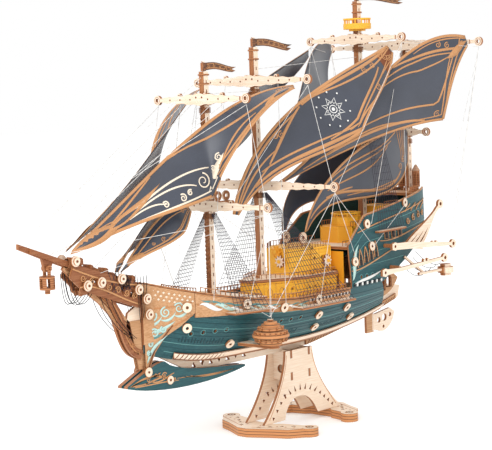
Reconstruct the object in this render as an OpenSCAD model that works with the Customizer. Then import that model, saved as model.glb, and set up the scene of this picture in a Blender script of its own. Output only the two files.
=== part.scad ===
// Fantasy sailing ship on an openwork stand, a laser-cut plywood model.
// +X is aft, -Y is port, +Z is up. The origin is on the floor, at mid-length on the centre plane.

/* [Hull] */
// Distance from the middle of the model to the stem
bow_len = 152; // [134:1:170]
// Distance from the middle of the model to the rounded stern
stern_len = 284; // [262:1:306]
// Greatest half breadth of the planking
half_beam = 52; // [44:1:62]
// Height of the bottom of the planking above the floor
bottom_z = 88; // [74:1:106]
// Height of the widest part of the side above the bottom
wale_h = 54; // [50:1:64]
// Thickness of one skin of the hull
skin_t = 1.8; // [1.2:0.1:2.4]

/* [Plywood] */
// Thickness of a plywood sheet
ply = 3; // [2.4:0.1:3.6]
// Thickness of the printed veneer that the sails are cut from
sail_t = 0.8; // [0.6:0.1:1.2]
// Gap left all round a piece that is fitted to another
gap = 0.2; // [0.1:0.05:0.4]

/* [Masts] */
// Side of the square masts
mast_w = 6.4; // [5:0.1:7.6]
// Fore mast, place along the ship
fore_x = -53; // [-60:1:-46]
// Main mast, place along the ship
main_x = 20; // [16:1:24]
// Mizzen mast, place along the ship
mizzen_x = 188; // [186:1:190]
// Jigger mast, place along the ship
jigger_x = 272; // [262:1:276]
// Height of the fore mast head above the hull bottom
fore_top = 281; // [265:1:300]
// Height of the main mast head above the hull bottom
main_top = 304; // [290:1:330]
// Height of the mizzen mast head above the hull bottom
mizzen_top = 352; // [340:1:380]
// Height of the jigger mast head above the hull bottom
jigger_top = 308; // [304:1:322]

/* [Yards] */
// Half length of the upper yard on the fore mast
fore_yard = 60; // [50:1:72]
// Half length of the upper yard on the main mast
main_yard = 75; // [62:1:90]
// Half length of the upper yard on the mizzen mast
mizzen_yard = 63; // [52:1:74]
// Half length of the upper yard on the jigger mast
jigger_yard = 103; // [86:1:112]
// Depth of a yard at its middle
yard_h = 6; // [5:0.1:7.4]
// Diameter of the ring at each end of a yard
ring_d = 9.6; // [8:0.1:11]

/* [Decks] */
// Height of the fore deck above the hull bottom
fore_deck_z = 56; // [50:1:60]
// Height of the main deck above the hull bottom
main_deck_z = 46; // [42:1:48]
// Height of the poop deck above the hull bottom
poop_deck_z = 92; // [90:1:98]
// Thickness of the cabin walls
wall_t = 2; // [1.5:0.1:3]

/* [Stand] */
// Distance from the centre plane to the inner face of a stand side
stand_half = 10.5; // [9:0.5:14]
// Number of plywood layers in each foot
foot_layers = 3; // [2:1:4]
// Half width of the front foot
foot_half = 63; // [52:1:76]

/* [Moving pieces] */
// Pitch radius of the cabin gears
gear_r = 5.5; // [4.6:0.1:6.6]
// Teeth on a cabin gear
gear_teeth = 9; // [8:1:12]
// Diameter of the pins that the gears, turrets and pennants turn on
pin_d = 1.8; // [1.4:0.1:2.2]
// Gap between a pin and the bore that turns on it, measured on the radius
run_gap = 0.08; // [0.05:0.01:0.1]
// Radius of the largest disc of a side turret
turret_r = 18; // [15:0.5:20]
// Length of the mizzen pennant
pennant_len = 84; // [60:1:90]

/* [Hidden] */

$fn = 40;
eps = 0.01;
mid_x = 60;
run_len = stern_len + 6 - mid_x;
entry_len = bow_len + mid_x;
stem_half = ply / 2 + 0.1;
skin_min = stem_half + skin_t;
sheer_mid = wale_h - 2;
quarter_x = 103;
mast_h = mast_w / 2;
pin_r = pin_d / 2;
bore_r = pin_r + run_gap;
foot_t = foot_layers * ply;

// ---- shape of the hull -------------------------------------------------

// Half breadth at the widest height, at station x
function beam_at(x) = x < mid_x
    ? half_beam * (1 - pow((mid_x - x) / entry_len, 2.6))
    : half_beam * sqrt(max(0, 1 - pow((x - mid_x) / run_len, 2.2)));
// Height of the lower edge of the planking
function low_at(x) = x < -60 ? 18 * pow((-60 - x) / (bow_len - 60), 2) : x > 40 ? 0.0007 * pow(x - 40, 2) : 0;
// Height of the widest point
function wale_at(x) = wale_h + 12 * pow(x / 200, 2);
// Height of the main rail
function sheer_at(x) = sheer_mid + (x < 20 ? 32 * pow((20 - x) / (bow_len + 18), 1.6) : 0);
// Height of the quarter rail
function rail_at(x) = poop_deck_z + (x < 135 ? 4 + 28 * (x - quarter_x) / (135 - quarter_x)
    : 32 + 20 * (x - 135) / (stern_len - 135));
// Half breadth of the outer face at station x and height z
function hull_y(x, z) = let (s = (z - low_at(x)) / (wale_at(x) - low_at(x)))
    max(skin_min, beam_at(x) * (s < 1 ? 0.3 + 0.7 * sin(90 * max(0, s)) : 1 - 0.0018 * (z - wale_at(x))));
// Aft edge of the side, which rakes forward below the poop
function aft_at(z) = z < wale_h - 2 ? 160
    : z < wale_h + 14 ? 160 + 42 * (z - wale_h + 2) / 16
    : z < wale_h + 42 ? 202 + (stern_len - 4 - 202) * (z - wale_h - 14) / 28 : stern_len - 4;

function lerp(a, b, t) = a + (b - a) * t;
function bez(p, t) = pow(1 - t, 3) * p[0] + 3 * pow(1 - t, 2) * t * p[1]
    + 3 * (1 - t) * t * t * p[2] + t * t * t * p[3];
// Curve from p to q that leaves p along a and reaches q from b
function edge(p, a, b, q) = [p, p + a, q + b, q];
// Slope of a curve, and the two sides of a band that follows it in a plane
function slope(p, t) = let (d = bez(p, min(1, t + 0.01)) - bez(p, max(0, t - 0.01))) d / norm(d);
function band(p, w0, w1, n = 12) = concat(
    [for (i = [0 : n]) let (t = i / n, d = slope(p, t)) bez(p, t) + lerp(w0, w1, t) / 2 * [-d.y, d.x]],
    [for (i = [n : -1 : 0]) let (t = i / n, d = slope(p, t)) bez(p, t) - lerp(w0, w1, t) / 2 * [-d.y, d.x]]);

// Closed sheet between two grids of points with the same number of rows and columns
module sheet(outer, inner) {
    rows = len(outer);
    cols = len(outer[0]);
    count = rows * cols;
    function at(i, j, side) = side * count + i * cols + j;
    skin = [for (i = [0 : rows - 2], j = [0 : cols - 2]) each [
        [at(i, j, 0), at(i, j + 1, 0), at(i + 1, j + 1, 0)],
        [at(i, j, 0), at(i + 1, j + 1, 0), at(i + 1, j, 0)],
        [at(i, j, 1), at(i + 1, j + 1, 1), at(i, j + 1, 1)],
        [at(i, j, 1), at(i + 1, j, 1), at(i + 1, j + 1, 1)]]];
    ends = [for (i = [0 : rows - 2]) each [
        [at(i, 0, 0), at(i + 1, 0, 0), at(i + 1, 0, 1)],
        [at(i, 0, 0), at(i + 1, 0, 1), at(i, 0, 1)],
        [at(i, cols - 1, 0), at(i + 1, cols - 1, 1), at(i + 1, cols - 1, 0)],
        [at(i, cols - 1, 0), at(i, cols - 1, 1), at(i + 1, cols - 1, 1)]]];
    sides = [for (j = [0 : cols - 2]) each [
        [at(0, j, 0), at(0, j + 1, 1), at(0, j + 1, 0)],
        [at(0, j, 0), at(0, j, 1), at(0, j + 1, 1)],
        [at(rows - 1, j, 0), at(rows - 1, j + 1, 0), at(rows - 1, j + 1, 1)],
        [at(rows - 1, j, 0), at(rows - 1, j + 1, 1), at(rows - 1, j, 1)]]];
    polyhedron([for (g = [outer, inner], row = g, p = row) p],
        [for (f = concat(skin, ends, sides)) [f[2], f[1], f[0]]], convexity = 6);
}

// Starboard piece of the planking from station x0 to its aft edge, between two heights
module planking(x0, aft, out, thick, nx, nz, low, high) {
    grid = [for (i = [0 : nx]) [for (j = [0 : nz]) let (x = lerp(x0, aft(j / nz), i / nx),
        z = lerp(low(x), high(x), j / nz)) [x, hull_y(x, z) + out, z]]];
    back = [for (row = grid) [for (p = row) [p.x, max(stem_half, p.y - thick), p.z]]];
    sheet(grid, back);
}

module both_sides() {
    children();
    mirror([0, 1, 0]) children();
}
module afloat() translate([0, 0, bottom_z]) children();
// Plate standing fore and aft, its outline in x and z, its middle at y
module fore_aft(y, t) translate([0, y + t / 2, 0]) rotate([90, 0, 0]) linear_extrude(t) children();
// Plate standing across the ship, its outline in y and z, its front face at x
module athwart(x, t) translate([x, 0, 0]) rotate([90, 0, 90]) linear_extrude(t) children();
module ring2d(d, hole) difference() {
    circle(d = d);
    circle(d = hole);
}
// Round bar between two points
module rod(p, q, r, sides = 8) {
    v = q - p;
    translate(p) rotate([0, acos(v.z / norm(v)), atan2(v.y, v.x)]) cylinder(r = r, h = norm(v), $fn = sides);
}

// ---- stand -------------------------------------------------------------

foot_front_x = -17;
foot_rear_x = 138;
leg_front = [2, foot_t + gap];
leg_rear = [124, foot_t + gap];
yoke_xs = [45, 73];
yoke_low = bottom_z - 40;
keel_drop = 10;

module foot_outline(half, sweep) {
    difference() {
        union() {
            polygon([for (s = [-1, 1]) each (s < 0 ? [
                [sweep + 17, -half + 2], [sweep + 4, -half + 6], [sweep * 0.62, -half * 0.72],
                [sweep * 0.42, -half * 0.48], [sweep * 0.16, -half * 0.24]] : [
                [0, -6], [0, 6], [sweep * 0.16, half * 0.24], [sweep * 0.42, half * 0.48],
                [sweep * 0.62, half * 0.72], [sweep + 4, half - 6], [sweep + 17, half - 2],
                [sweep * 0.62 + 24, half * 0.62], [sweep * 0.42 + 26, half * 0.36], [32, 14],
                [32, -14], [sweep * 0.42 + 26, -half * 0.36], [sweep * 0.62 + 24, -half * 0.62]])]);
            for (s = [-1, 1]) translate([sweep + 12, s * (half - 9)]) circle(r = 9);
        }
        for (s = [-1, 1]) {
            translate([sweep + 12, s * (half - 9)]) ring2d(9, 5);
            translate([sweep + 12, s * (half - 9)]) circle(r = 1.2);
            for (k = [0 : 3]) translate([lerp(12, sweep + 5, k / 3), s * lerp(12, half - 24, k / 3)])
                rotate(s * 60) polygon([[-2.6, -1.6], [2.6, -1.6], [0, 2.2]]);
        }
    }
}
module stand_foot_front() color("burlywood") translate([foot_front_x, 0, 0])
    for (k = [0 : foot_layers - 1]) translate([0, 0, k * ply]) linear_extrude(ply) foot_outline(foot_half, 30);
module stand_foot_rear() color("burlywood") translate([foot_rear_x, 0, 0]) mirror([1, 0, 0])
    for (k = [0 : foot_layers - 1]) translate([0, 0, k * ply]) linear_extrude(ply) foot_outline(foot_half - 11, 24);

module stand_outline() {
    top = bottom_z - keel_drop + 2;
    front = edge([38, top], [-1, -22], [22, 22], leg_front);
    rear = edge([80, top], [1, -24], [-26, 22], leg_rear);
    arch_f = edge([34, foot_t + gap], [2, 12], [-14, 0], [58, foot_t + 22]);
    arch_r = edge([58, foot_t + 22], [14, 0], [-6, 12], [86, foot_t + gap]);
    difference() {
        polygon(concat([for (i = [0 : 10]) bez(front, i / 10)], [for (i = [0 : 8]) bez(arch_f, i / 8)],
            [for (i = [1 : 8]) bez(arch_r, i / 8)], [for (i = [10 : -1 : 0]) bez(rear, i / 10)]));
        for (x = yoke_xs, z = [yoke_low + 1, bottom_z - 16])
            translate([x - gap, z - gap]) square([ply + 2 * gap, 8 + 2 * gap]);
        for (k = [-3 : 3]) translate([59 + k * 7.5, foot_t + 28 - 0.28 * k * k * 2]) rotate(-k * 16)
            polygon([[-1.3, 0], [1.3, 0], [0, 7]]);
        for (k = [0 : 3]) {
            translate([16 + k * 6.2, foot_t + 5 + k * 7]) rotate(45) polygon([[-2, -1.5], [2, -1.5], [0, 2.4]]);
            translate([110 - k * 6.4, foot_t + 5 + k * 5]) rotate(-45) polygon([[-2, -1.5], [2, -1.5], [0, 2.4]]);
        }
    }
}
module stand_side_port() color("wheat") fore_aft(-stand_half - ply / 2, ply) stand_outline();
module stand_side_starboard() color("wheat") fore_aft(stand_half + ply / 2, ply) stand_outline();
module stand_yokes() color("wheat") for (x = yoke_xs) athwart(x, ply) difference() {
    union() {
        translate([-stand_half + gap, yoke_low]) square([2 * (stand_half - gap), bottom_z - 8 - yoke_low]);
        for (z = [yoke_low + 1, bottom_z - 16]) translate([-stand_half - ply, z])
            square([2 * (stand_half + ply), 8]);
    }
    translate([-ply / 2 - gap, bottom_z - keel_drop]) square([ply + 2 * gap, 20]);
    translate([0, yoke_low + 12]) circle(r = 4.5);
}

// ---- keel, frames and skins ---------------------------------------------

frame_xs = [-118, -84, -30, 8, 60, 105, 148];
frame_slot_z = 22;

function rail_z(x) = low_at(x) - keel_drop + (x > 80 ? 4 * sin(min(90, x - 80)) : 0);
module keel_outline() {
    bottom = [for (x = [-92 : 12 : 244]) [x, rail_z(x)]];
    difference() {
        polygon(concat([[-143, fore_deck_z + 8], [-bow_len - 1, fore_deck_z + 10], [-bow_len - 16, 58],
            [-bow_len - 20, 40], [-bow_len - 9, 20], [-bow_len + 9, 17]], bottom, [[248, 36], [214, wale_h - 12], [150, main_deck_z - gap],
            [-20, main_deck_z - gap], [-24, fore_deck_z - gap], [-140, fore_deck_z - gap]]));
        for (x = frame_xs) translate([x - gap, frame_slot_z]) square([ply + 2 * gap, 60]);
        for (x = [-104 : 38 : 130]) translate([x + 12, 32]) circle(r = 6);
        for (k = [0 : 6]) translate([-84 + k * 12, -3]) polygon(k % 2 == 0 ? [[-3.4, -3.4], [3.4, -3.4], [0, 2]]
            : [[-3.4, 2], [3.4, 2], [0, -3.4]]);
    }
}
module keel_board() color("bisque") afloat() {
    fore_aft(0, ply) keel_outline();
    translate([rudder_x, 0, -10]) cylinder(r = pin_r, h = 24, $fn = 32);
    translate([rudder_x, 0, -11]) cylinder(r = pin_r + 1, h = 1 + eps, $fn = 32);
}
// Tan rails that run along both faces of the keel, under the planking
module keel_rails() color("peru") afloat() both_sides() fore_aft(ply / 2 + gap + 1, 2)
    polygon(concat([for (x = [82 : 12 : 238]) [x, rail_z(x) + 0.6]],
        [for (x = [238 : -12 : 82]) [x, rail_z(x) + 6]]));

module frame_outline(x) {
    top = x < -22 ? fore_deck_z - gap : min(main_deck_z - gap, x > 140 ? wale_h - 12 : main_deck_z - gap);
    low = low_at(x) + 0.6;
    rows = 8;
    inset = skin_t + 0.9;
    difference() {
        polygon(concat([for (i = [0 : rows]) let (z = lerp(low, top, i / rows))
            [min(hull_y(x, z), hull_y(x + ply, z)) - inset, z]],
            [for (i = [rows : -1 : 0]) let (z = lerp(low, top, i / rows))
            [inset - min(hull_y(x, z), hull_y(x + ply, z)), z]]));
        translate([-ply / 2 - gap, -20]) square([ply + 2 * gap, 20 + frame_slot_z]);
        if (beam_at(x) > 34) for (s = [-1, 1]) translate([s * beam_at(x) * 0.46, 26]) circle(r = 8);
    }
}
module bulkheads() color("bisque") afloat() for (x = frame_xs) athwart(x, ply) frame_outline(x);

module side_skin() planking(-bow_len, function(v) lerp(200, 160, v), 0, skin_t, 28, 8,
    function(x) low_at(x), function(x) sheer_at(x));
module hull_half() difference() {
    side_skin();
    for (x = concat([for (k = [0 : 3]) -104.6 + 12.4 * k], [for (k = [0 : 2]) 0.3 + 14 * k]))
        translate([x, 0, 31.2]) rotate([-90, 0, 0]) cylinder(d = 3, h = half_beam + 20, $fn = 24);
}
module hull_side_starboard() color("teal") afloat() hull_half();
module hull_side_port() color("teal") mirror([0, 1, 0]) afloat() hull_half();

// Raised panels on the bows
module bow_panels() color("peru") afloat() both_sides()
    planking(-bow_len, function(v) -104, 1.4 + gap, 1.4, 4, 6, function(x) 26 + 26 * pow((x + bow_len) / 48, 2),
        function(x) sheer_at(x) - 0.5);
module ram_cheeks() color("darkslategray") afloat() both_sides() fore_aft(ply / 2 + gap + 2.5, 5) {
    top_a = edge([-bow_len - 25, -10], [14, 6], [-12, 1], [-bow_len + 24, 7]);
    top_b = edge([-bow_len + 24, 7], [14, -14], [-40, 4], [-16, -13]);
    under = edge([-16, -15], [-50, -10], [40, -12], [-bow_len - 25, -12]);
    polygon(concat([for (i = [0 : 8]) bez(top_a, i / 8)], [for (i = [1 : 8]) bez(top_b, i / 8)],
        [for (i = [0 : 12]) bez(under, i / 12)]));
}
knee_spot = [-bow_len - 26, 48];
knee_line = edge(knee_spot, [8, -24], [-10, 4], [-bow_len - 3, 17]);
module cutwater_knees() color("saddlebrown") afloat() both_sides() fore_aft(ply + gap, ply)
    difference() {
        union() {
            polygon(band(edge([-bow_len - 76, 84], [24, 6], [-8, 26], knee_spot), 5, 8));
            polygon(band(knee_line, 8, 9));
            polygon(band(edge([-bow_len - 54, 86], [22, 8], [-20, 2], [-bow_len - 6, 68]), 5, 7));
        }
        for (t = [0.15 : 0.17 : 0.9])
            translate(bez(knee_line, t)) circle(r = 1.2, $fn = 16);
    }

// ---- stern --------------------------------------------------------------

module quarter_skin() planking(quarter_x, function(v) aft_at(lerp(sheer_mid, poop_deck_z + 40, v)), 0,
    skin_t, 20, 8, function(x) sheer_mid + gap, function(x) rail_at(x));
module stern_quarters() color("teal") afloat() both_sides() difference() {
    quarter_skin();
    for (k = [0 : 3]) translate([120 + 10 * k, 0, 62]) rotate([-90, 0, 0])
        cylinder(d = 3, h = half_beam + 20, $fn = 24);
}
module gunwale_bands() color("peru") afloat() both_sides()
    planking(-103.5, function(v) 99, 1.4 + gap, 1.2, 18, 2,
        function(x) sheer_at(x) - (x < -40 ? 24 - 12 * (x + 104) / 64 : 12), function(x) sheer_at(x) - 0.5);
module side_shelf(x0, x1, z, out, width) translate([0, 0, z]) linear_extrude(2) polygon(concat(
    [for (i = [0 : 6]) let (x = lerp(x0, x1, i / 6)) [x, max(hull_y(x, z), hull_y(x, z + 2)) + out]],
    [for (i = [6 : -1 : 0]) let (x = lerp(x0, x1, i / 6)) [x, hull_y(x, z) + width]]));
fore_channel_z = sheer_mid - 5;
main_channel_z = sheer_mid - 10;
channel_w = 15;
// Boards that spread the shrouds, and the platforms that carry the side turrets
module channel_boards() color("burlywood") afloat() both_sides() {
    side_shelf(-74, -30, fore_channel_z, 1.6 + 2 * gap, channel_w);
    side_shelf(10, 94, main_channel_z, 1.6 + 2 * gap, channel_w);
    side_shelf(152, 208, poop_deck_z + 13, 2 * gap, 6);
    translate([turret_x - 8, 0, turret_z - ply]) linear_extrude(ply) polygon([[0, turret_in], [16, turret_in],
        [14, turret_y + 6], [8, turret_y + 10], [2, turret_y + 6]]);
    translate([turret_x, turret_y, turret_z - eps]) cylinder(r = pin_r, h = turret_stack + 1.4 + eps, $fn = 32);
    translate([turret_x, turret_y, turret_z + turret_stack + 1]) cylinder(r = 3, h = 1.2);
}

// Plate that follows the rake of the stern between two points given as x and z
module raked_plate(p, q) {
    n = 6;
    function half(x, z) = min(hull_y(x, z), hull_y(x, z + ply)) - skin_t - 0.7;
    low = [for (i = [0 : n]) let (c = lerp(p, q, i / n)) [for (j = [-2 : 2]) [c.x, j / 2 * half(c.x, c.y), c.y]]];
    top = [for (row = low) [for (c = row) [c.x, c.y, c.z + ply]]];
    sheet(low, top);
}
module stern_counter() color("sienna") afloat() {
    raked_plate([161, wale_h - 1.4], [201.5, wale_h + 13.6]);
    raked_plate([203.5, wale_h + 14.6], [stern_len - 5, wale_h + 41.4]);
    difference() {
        athwart(stern_len - 7, ply) polygon(concat(
            [for (i = [0 : 4]) let (z = lerp(wale_h + 46, rail_at(stern_len) - 7, i / 4))
                [hull_y(stern_len - 4, z) - skin_t - 0.7, z]],
            [for (i = [4 : -1 : 0]) let (z = lerp(wale_h + 46, rail_at(stern_len) - 7, i / 4))
                [skin_t + 0.7 - hull_y(stern_len - 4, z), z]]));
        for (s = [-1, 1], z = [108, 124]) translate([stern_len - 8, s * 6, z]) rotate([0, 90, 0])
            cylinder(r = 2.6, h = 6);
    }
}
module stern_galleries() color("peru") afloat() both_sides() fore_aft(24, ply) difference() {
    polygon(concat([[166, 31]], [for (i = [0 : 6]) bez(edge([182, 31], [14, 2], [-8, -12], [214, wale_h - 4]), i / 6)],
        [[196, wale_h + 8], [166, wale_h - 3]]));
    for (k = [0 : 2]) translate([172 + 11 * k, 36 + 3 * k]) {
        square([7, 8]);
        translate([3.5, 8]) circle(r = 3.5, $fn = 24);
    }
}
module taffrail() color("peru") afloat() {
    z = rail_at(stern_len) - 6;
    linear_extrude_at(z, ply) deck_outline(238, stern_len - 5, z, ply);
    for (s = [-1, 1], k = [0 : 4]) translate([244 + 6 * k, s * (hull_y(244 + 6 * k, z) - skin_t - 3), z + ply - eps])
        cylinder(r = 1.2, h = 6 + eps, $fn = 16);
}

// ---- decks and rings ------------------------------------------------------

module linear_extrude_at(z, t) translate([0, 0, z]) linear_extrude(t) children();
module deck_outline(x0, x1, z, t) {
    n = 14;
    function half(x) = min(hull_y(x, z), hull_y(x, z + t)) - skin_t - 0.7;
    polygon(concat([for (i = [0 : n]) let (x = lerp(x0, x1, i / n)) [x, half(x)]],
        [for (i = [n : -1 : 0]) let (x = lerp(x0, x1, i / n)) [x, -half(x)]]));
}
module fore_deck() color("tan") afloat() linear_extrude_at(fore_deck_z, ply)
    deck_outline(-138, -21, fore_deck_z, ply);
module main_deck() color("tan") afloat() linear_extrude_at(main_deck_z, ply)
    deck_outline(-19, 158, main_deck_z, ply);
module poop_deck() color("tan") afloat() linear_extrude_at(poop_deck_z, ply)
    deck_outline(quarter_x + 1, 256, poop_deck_z, ply);

skin_rings = [[-110, 38], [-57, 16], [56, 31], [62, 17], [102, 33], [122, 20], [110, 79], [142, 92], [137, 116],
    [216, 132]];
band_rings = [[-112, 58], [-51, 55], [-5, 47], [44, 49.4]];
module hull_washer(x, z, out) {
    dx = (hull_y(x + 1, z) - hull_y(x - 1, z)) / 2;
    dz = (hull_y(x, z + 1) - hull_y(x, z - 1)) / 2;
    n = [-dx, 1, -dz] / norm([-dx, 1, -dz]);
    translate([x, hull_y(x, z), z] + n * out) rotate([0, acos(n.z), atan2(n.y, n.x)]) difference() {
        cylinder(d = ring_d, h = 2);
        translate([0, 0, -1]) cylinder(d = ring_d * 0.34, h = 4, $fn = 24);
    }
}
module hull_rings() color("bisque") afloat() both_sides() {
    for (p = skin_rings) hull_washer(p.x, p.y, 0.4);
    for (p = band_rings) hull_washer(p.x, p.y, 2.9);
    translate([clew_ring.x, clew_ring.y - 3.4, clew_ring.z]) rotate([-90, 0, 0]) difference() {
        cylinder(d = ring_d + 2, h = 2);
        translate([0, 0, -1]) cylinder(d = 4, h = 4);
    }
    rod([clew_ring.x, clew_ring.y - 2.4, upper_z + upper_h + 0.05], clew_ring + [0, -2.4, -ring_d / 2 - 0.6], 0.9, 8);
}

// ---- cabins ---------------------------------------------------------------

function lower_plan(e) = [[-2 - e, -7 - e / 2], [-2 - e, 7 + e / 2], [50, 32 + e], [99, 34 + e], [99, -34 - e],
    [50, -32 - e]];
function upper_plan(e) = [[47 - e, -16 - e / 2], [47 - e, 16 + e / 2], [66, 28 + e], [96, 28 + e],
    [101 + e, 22], [101 + e, -22], [96, -28 - e], [66, -28 - e]];
function aft_plan(e) = [[131 - e, -12], [131 - e, 12], [142, 21 + e], [170, 21 + e], [180 + e, 12],
    [180 + e, -12], [170, -21 - e], [142, -21 - e]];
function stern_plan(e) = [[198 - e, -12], [198 - e, 12], [205, 18 + e], [232 + e, 16], [232 + e, -16],
    [205, -18 - e]];
lower_h = 18;
roof_z = main_deck_z + ply + lower_h;
upper_z = roof_z + ply;
upper_h = 27;
aft_z = poop_deck_z + ply;
aft_h = 17;
stern_h = 34;

module house(z, h) translate([0, 0, z]) difference() {
    linear_extrude(h) children(0);
    translate([0, 0, -1]) linear_extrude(h + 1 - wall_t) children(1);
    children(2);
}
module port_lights(xs, y, z, r = 1.5) for (x = xs) translate([x, 0, z]) rotate([-90, 0, 0])
    translate([0, 0, -y]) cylinder(r = r, h = 2 * y, $fn = 24);
module lower_cabin() color("gold") afloat() house(main_deck_z + ply, lower_h) {
    polygon(lower_plan(0));
    polygon(lower_plan(-wall_t));
    port_lights([30, 38, 58, 66, 82, 90], 60, 9);
}
module cabin_roof() color("tan") afloat() linear_extrude_at(roof_z, ply) polygon(lower_plan(2.6));
gear_z = upper_z + 14;
gear_y = -4;
gear_lift = 2 * gear_r * 0.906;
gear_side_step = 2 * gear_r * 0.423;
gear_spots = [[gear_y, gear_z], [gear_y + gear_side_step, gear_z + gear_lift]];
module upper_cabin() color("orange") afloat() {
    house(upper_z, upper_h) {
        polygon(upper_plan(0));
        polygon(upper_plan(-wall_t));
        port_lights([72, 84], 60, 16, 1.8);
    }
    for (p = gear_spots) translate([47 + eps, p.x, p.y]) rotate([0, -90, 0]) cap_pin(4);
    translate([89, -28 + eps, upper_z + 12]) rotate([90, 0, 0]) cap_pin(4);
}
// Pin with a thin head, standing on the plane z = 0
module cap_pin(reach) {
    cylinder(r = pin_r, h = reach + 0.2, $fn = 32);
    translate([0, 0, reach]) cylinder(r = pin_r + 1, h = 0.8, $fn = 32);
}
module aft_cabin() color("orange") afloat() house(aft_z, aft_h) {
    polygon(aft_plan(0));
    polygon(aft_plan(-wall_t));
    port_lights([150, 162], 60, 9, 1.8);
}
module stern_cabin() color("orange") afloat() house(aft_z, stern_h) {
    polygon(stern_plan(0));
    polygon(stern_plan(-wall_t));
    port_lights([210, 218, 226], 60, 26, 1.8);
}
module lookout_turret() color("gold") afloat() translate([159, 0, aft_z + aft_h]) {
    difference() {
        cylinder(r = 16, h = 9, $fn = 8);
        translate([0, 0, 2]) cylinder(r = 14, h = 8, $fn = 8);
    }
    difference() {
        translate([0, 0, 12]) cylinder(r = 16.4, h = 1.6, $fn = 8);
        translate([0, 0, 11]) cylinder(r = 14.4, h = 4, $fn = 8);
    }
    for (a = [0 : 22.5 : 359]) rotate(a) translate([14.9 * (a % 45 == 0 ? 1 : 0.94), 0, 9 - eps])
        cylinder(r = 0.6, h = 3.1, $fn = 8);
}

// ---- masts, yards and pennants ----------------------------------------------

// Mast of three layers with its foot, its bands and the pin of a pennant
module mast(x, foot_z, top_z, pennant) translate([x, 0, 0]) {
    for (k = [-1 : 1]) translate([-mast_h, k * mast_w / 3 - mast_w / 6, foot_z])
        cube([mast_w, mast_w / 3, top_z - foot_z]);
    difference() {
        translate([0, 0, foot_z]) cylinder(r = mast_w * 0.95, h = 3);
        translate([-mast_h, -mast_h, foot_z - 1]) cube([mast_w, mast_w, 6]);
    }
    if (pennant) translate([0, 0, top_z - eps]) cap_pin(9);
}
fore_foot = fore_deck_z + ply;
module fore_mast() color("sienna") afloat() mast(fore_x, fore_foot, fore_top, true);
module main_mast() color("sienna") afloat() mast(main_x, upper_z, main_top, true);
module mizzen_mast() color("sienna") afloat() mast(mizzen_x, aft_z, mizzen_top, true);
module jigger_mast() color("sienna") afloat()
    mast(jigger_x, rail_at(stern_len) - 6 + ply, jigger_top, false);

// Yard across the front of a mast, with a ring at each end and small rings along its top
module yard(x, z, half, knobs) athwart(x - mast_h - ply - eps, ply) translate([0, z]) difference() {
    union() {
        polygon([[-half, -yard_h * 0.3], [-4, -yard_h / 2], [4, -yard_h / 2], [half, -yard_h * 0.3],
            [half, yard_h * 0.3], [4, yard_h / 2], [-4, yard_h / 2], [-half, yard_h * 0.3]]);
        for (s = [-1, 1]) translate([s * half, 0]) circle(d = ring_d);
        for (y = knobs, s = [-1, 1]) translate([s * y, yard_h * 0.5 + 1]) circle(d = 4.6, $fn = 24);
    }
    for (s = [-1, 1]) translate([s * half, 0]) circle(d = ring_d * 0.42, $fn = 24);
    for (y = knobs, s = [-1, 1]) translate([s * y, yard_h * 0.5 + 1]) circle(d = 2, $fn = 16);
}
fore_yard_z = fore_top - 27;
main_yard_z = main_top - 34;
mizzen_yard_z = mizzen_top - 41;
jigger_yard_z = jigger_top + 2 - yard_h;
jigger_low_z = jigger_top - 101;
fore_low_z = fore_top - 131;
main_low_z = main_top - 139;
module fore_yards() color("bisque") afloat() {
    yard(fore_x, fore_yard_z, fore_yard, [6, fore_yard * 0.48]);
    yard(fore_x, fore_low_z, fore_yard + 23, [6, fore_yard * 0.6]);
    for (x = [10, 22]) translate([fore_x + mast_h + x, 0, fore_low_z + 8]) rotate([90, 0, 0])
        translate([0, 0, -1]) difference() {
            cylinder(r = 5, h = 2);
            translate([0, 0, -1]) cylinder(r = 2, h = 4);
        }
    translate([fore_x + mast_h, -1.2, fore_low_z - 2]) cube([28, 2.4, 5]);
}
module main_yards() color("bisque") afloat() {
    yard(main_x, main_yard_z, main_yard, [6, main_yard * 0.46]);
    yard(main_x, main_low_z, main_yard + 30, [8, main_yard * 0.5]);
}
module mizzen_yard_arm() color("bisque") afloat() yard(mizzen_x, mizzen_yard_z, mizzen_yard, [7, mizzen_yard * 0.5]);
module jigger_yards() color("bisque") afloat() {
    yard(jigger_x, jigger_yard_z, jigger_yard, [6, jigger_yard * 0.5]);
    yard(jigger_x, jigger_low_z, 30, [8]);
}

module pennant(x, top_z, reach, drop) translate([x, 0, top_z]) {
    difference() {
        translate([0, 0, 0.4]) cylinder(r = 2.6, h = 8.2, $fn = 32);
        cylinder(r = bore_r, h = 20, center = true, $fn = 32);
    }
    difference() {
        fore_aft(0, 1.2) polygon(concat([[2, 1]], [for (i = [0 : 8]) let (t = i / 8)
            [lerp(2, reach, t), lerp(8.4, 5 - drop / 2, t) + 1.5 * sin(300 * t)]],
            [[reach * 0.86, 1.6 - drop * 0.7], [reach * 0.98, -drop / 2]],
            [for (i = [7 : -1 : 1]) let (t = i / 8) [lerp(2, reach, t), lerp(0.8, -drop, t) + 1.5 * sin(300 * t)]]));
        cylinder(r = 2, h = 40, center = true, $fn = 32);
    }
}
module pennant_fore() color("gray") afloat() pennant(fore_x, fore_top, pennant_len * 0.55, 0);
module pennant_main() color("gray") afloat() pennant(main_x, main_top, pennant_len * 0.7, 3);
module pennant_mizzen() color("gray") afloat() pennant(mizzen_x, mizzen_top, pennant_len, 1);
nest_z = mizzen_top - 32;
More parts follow.
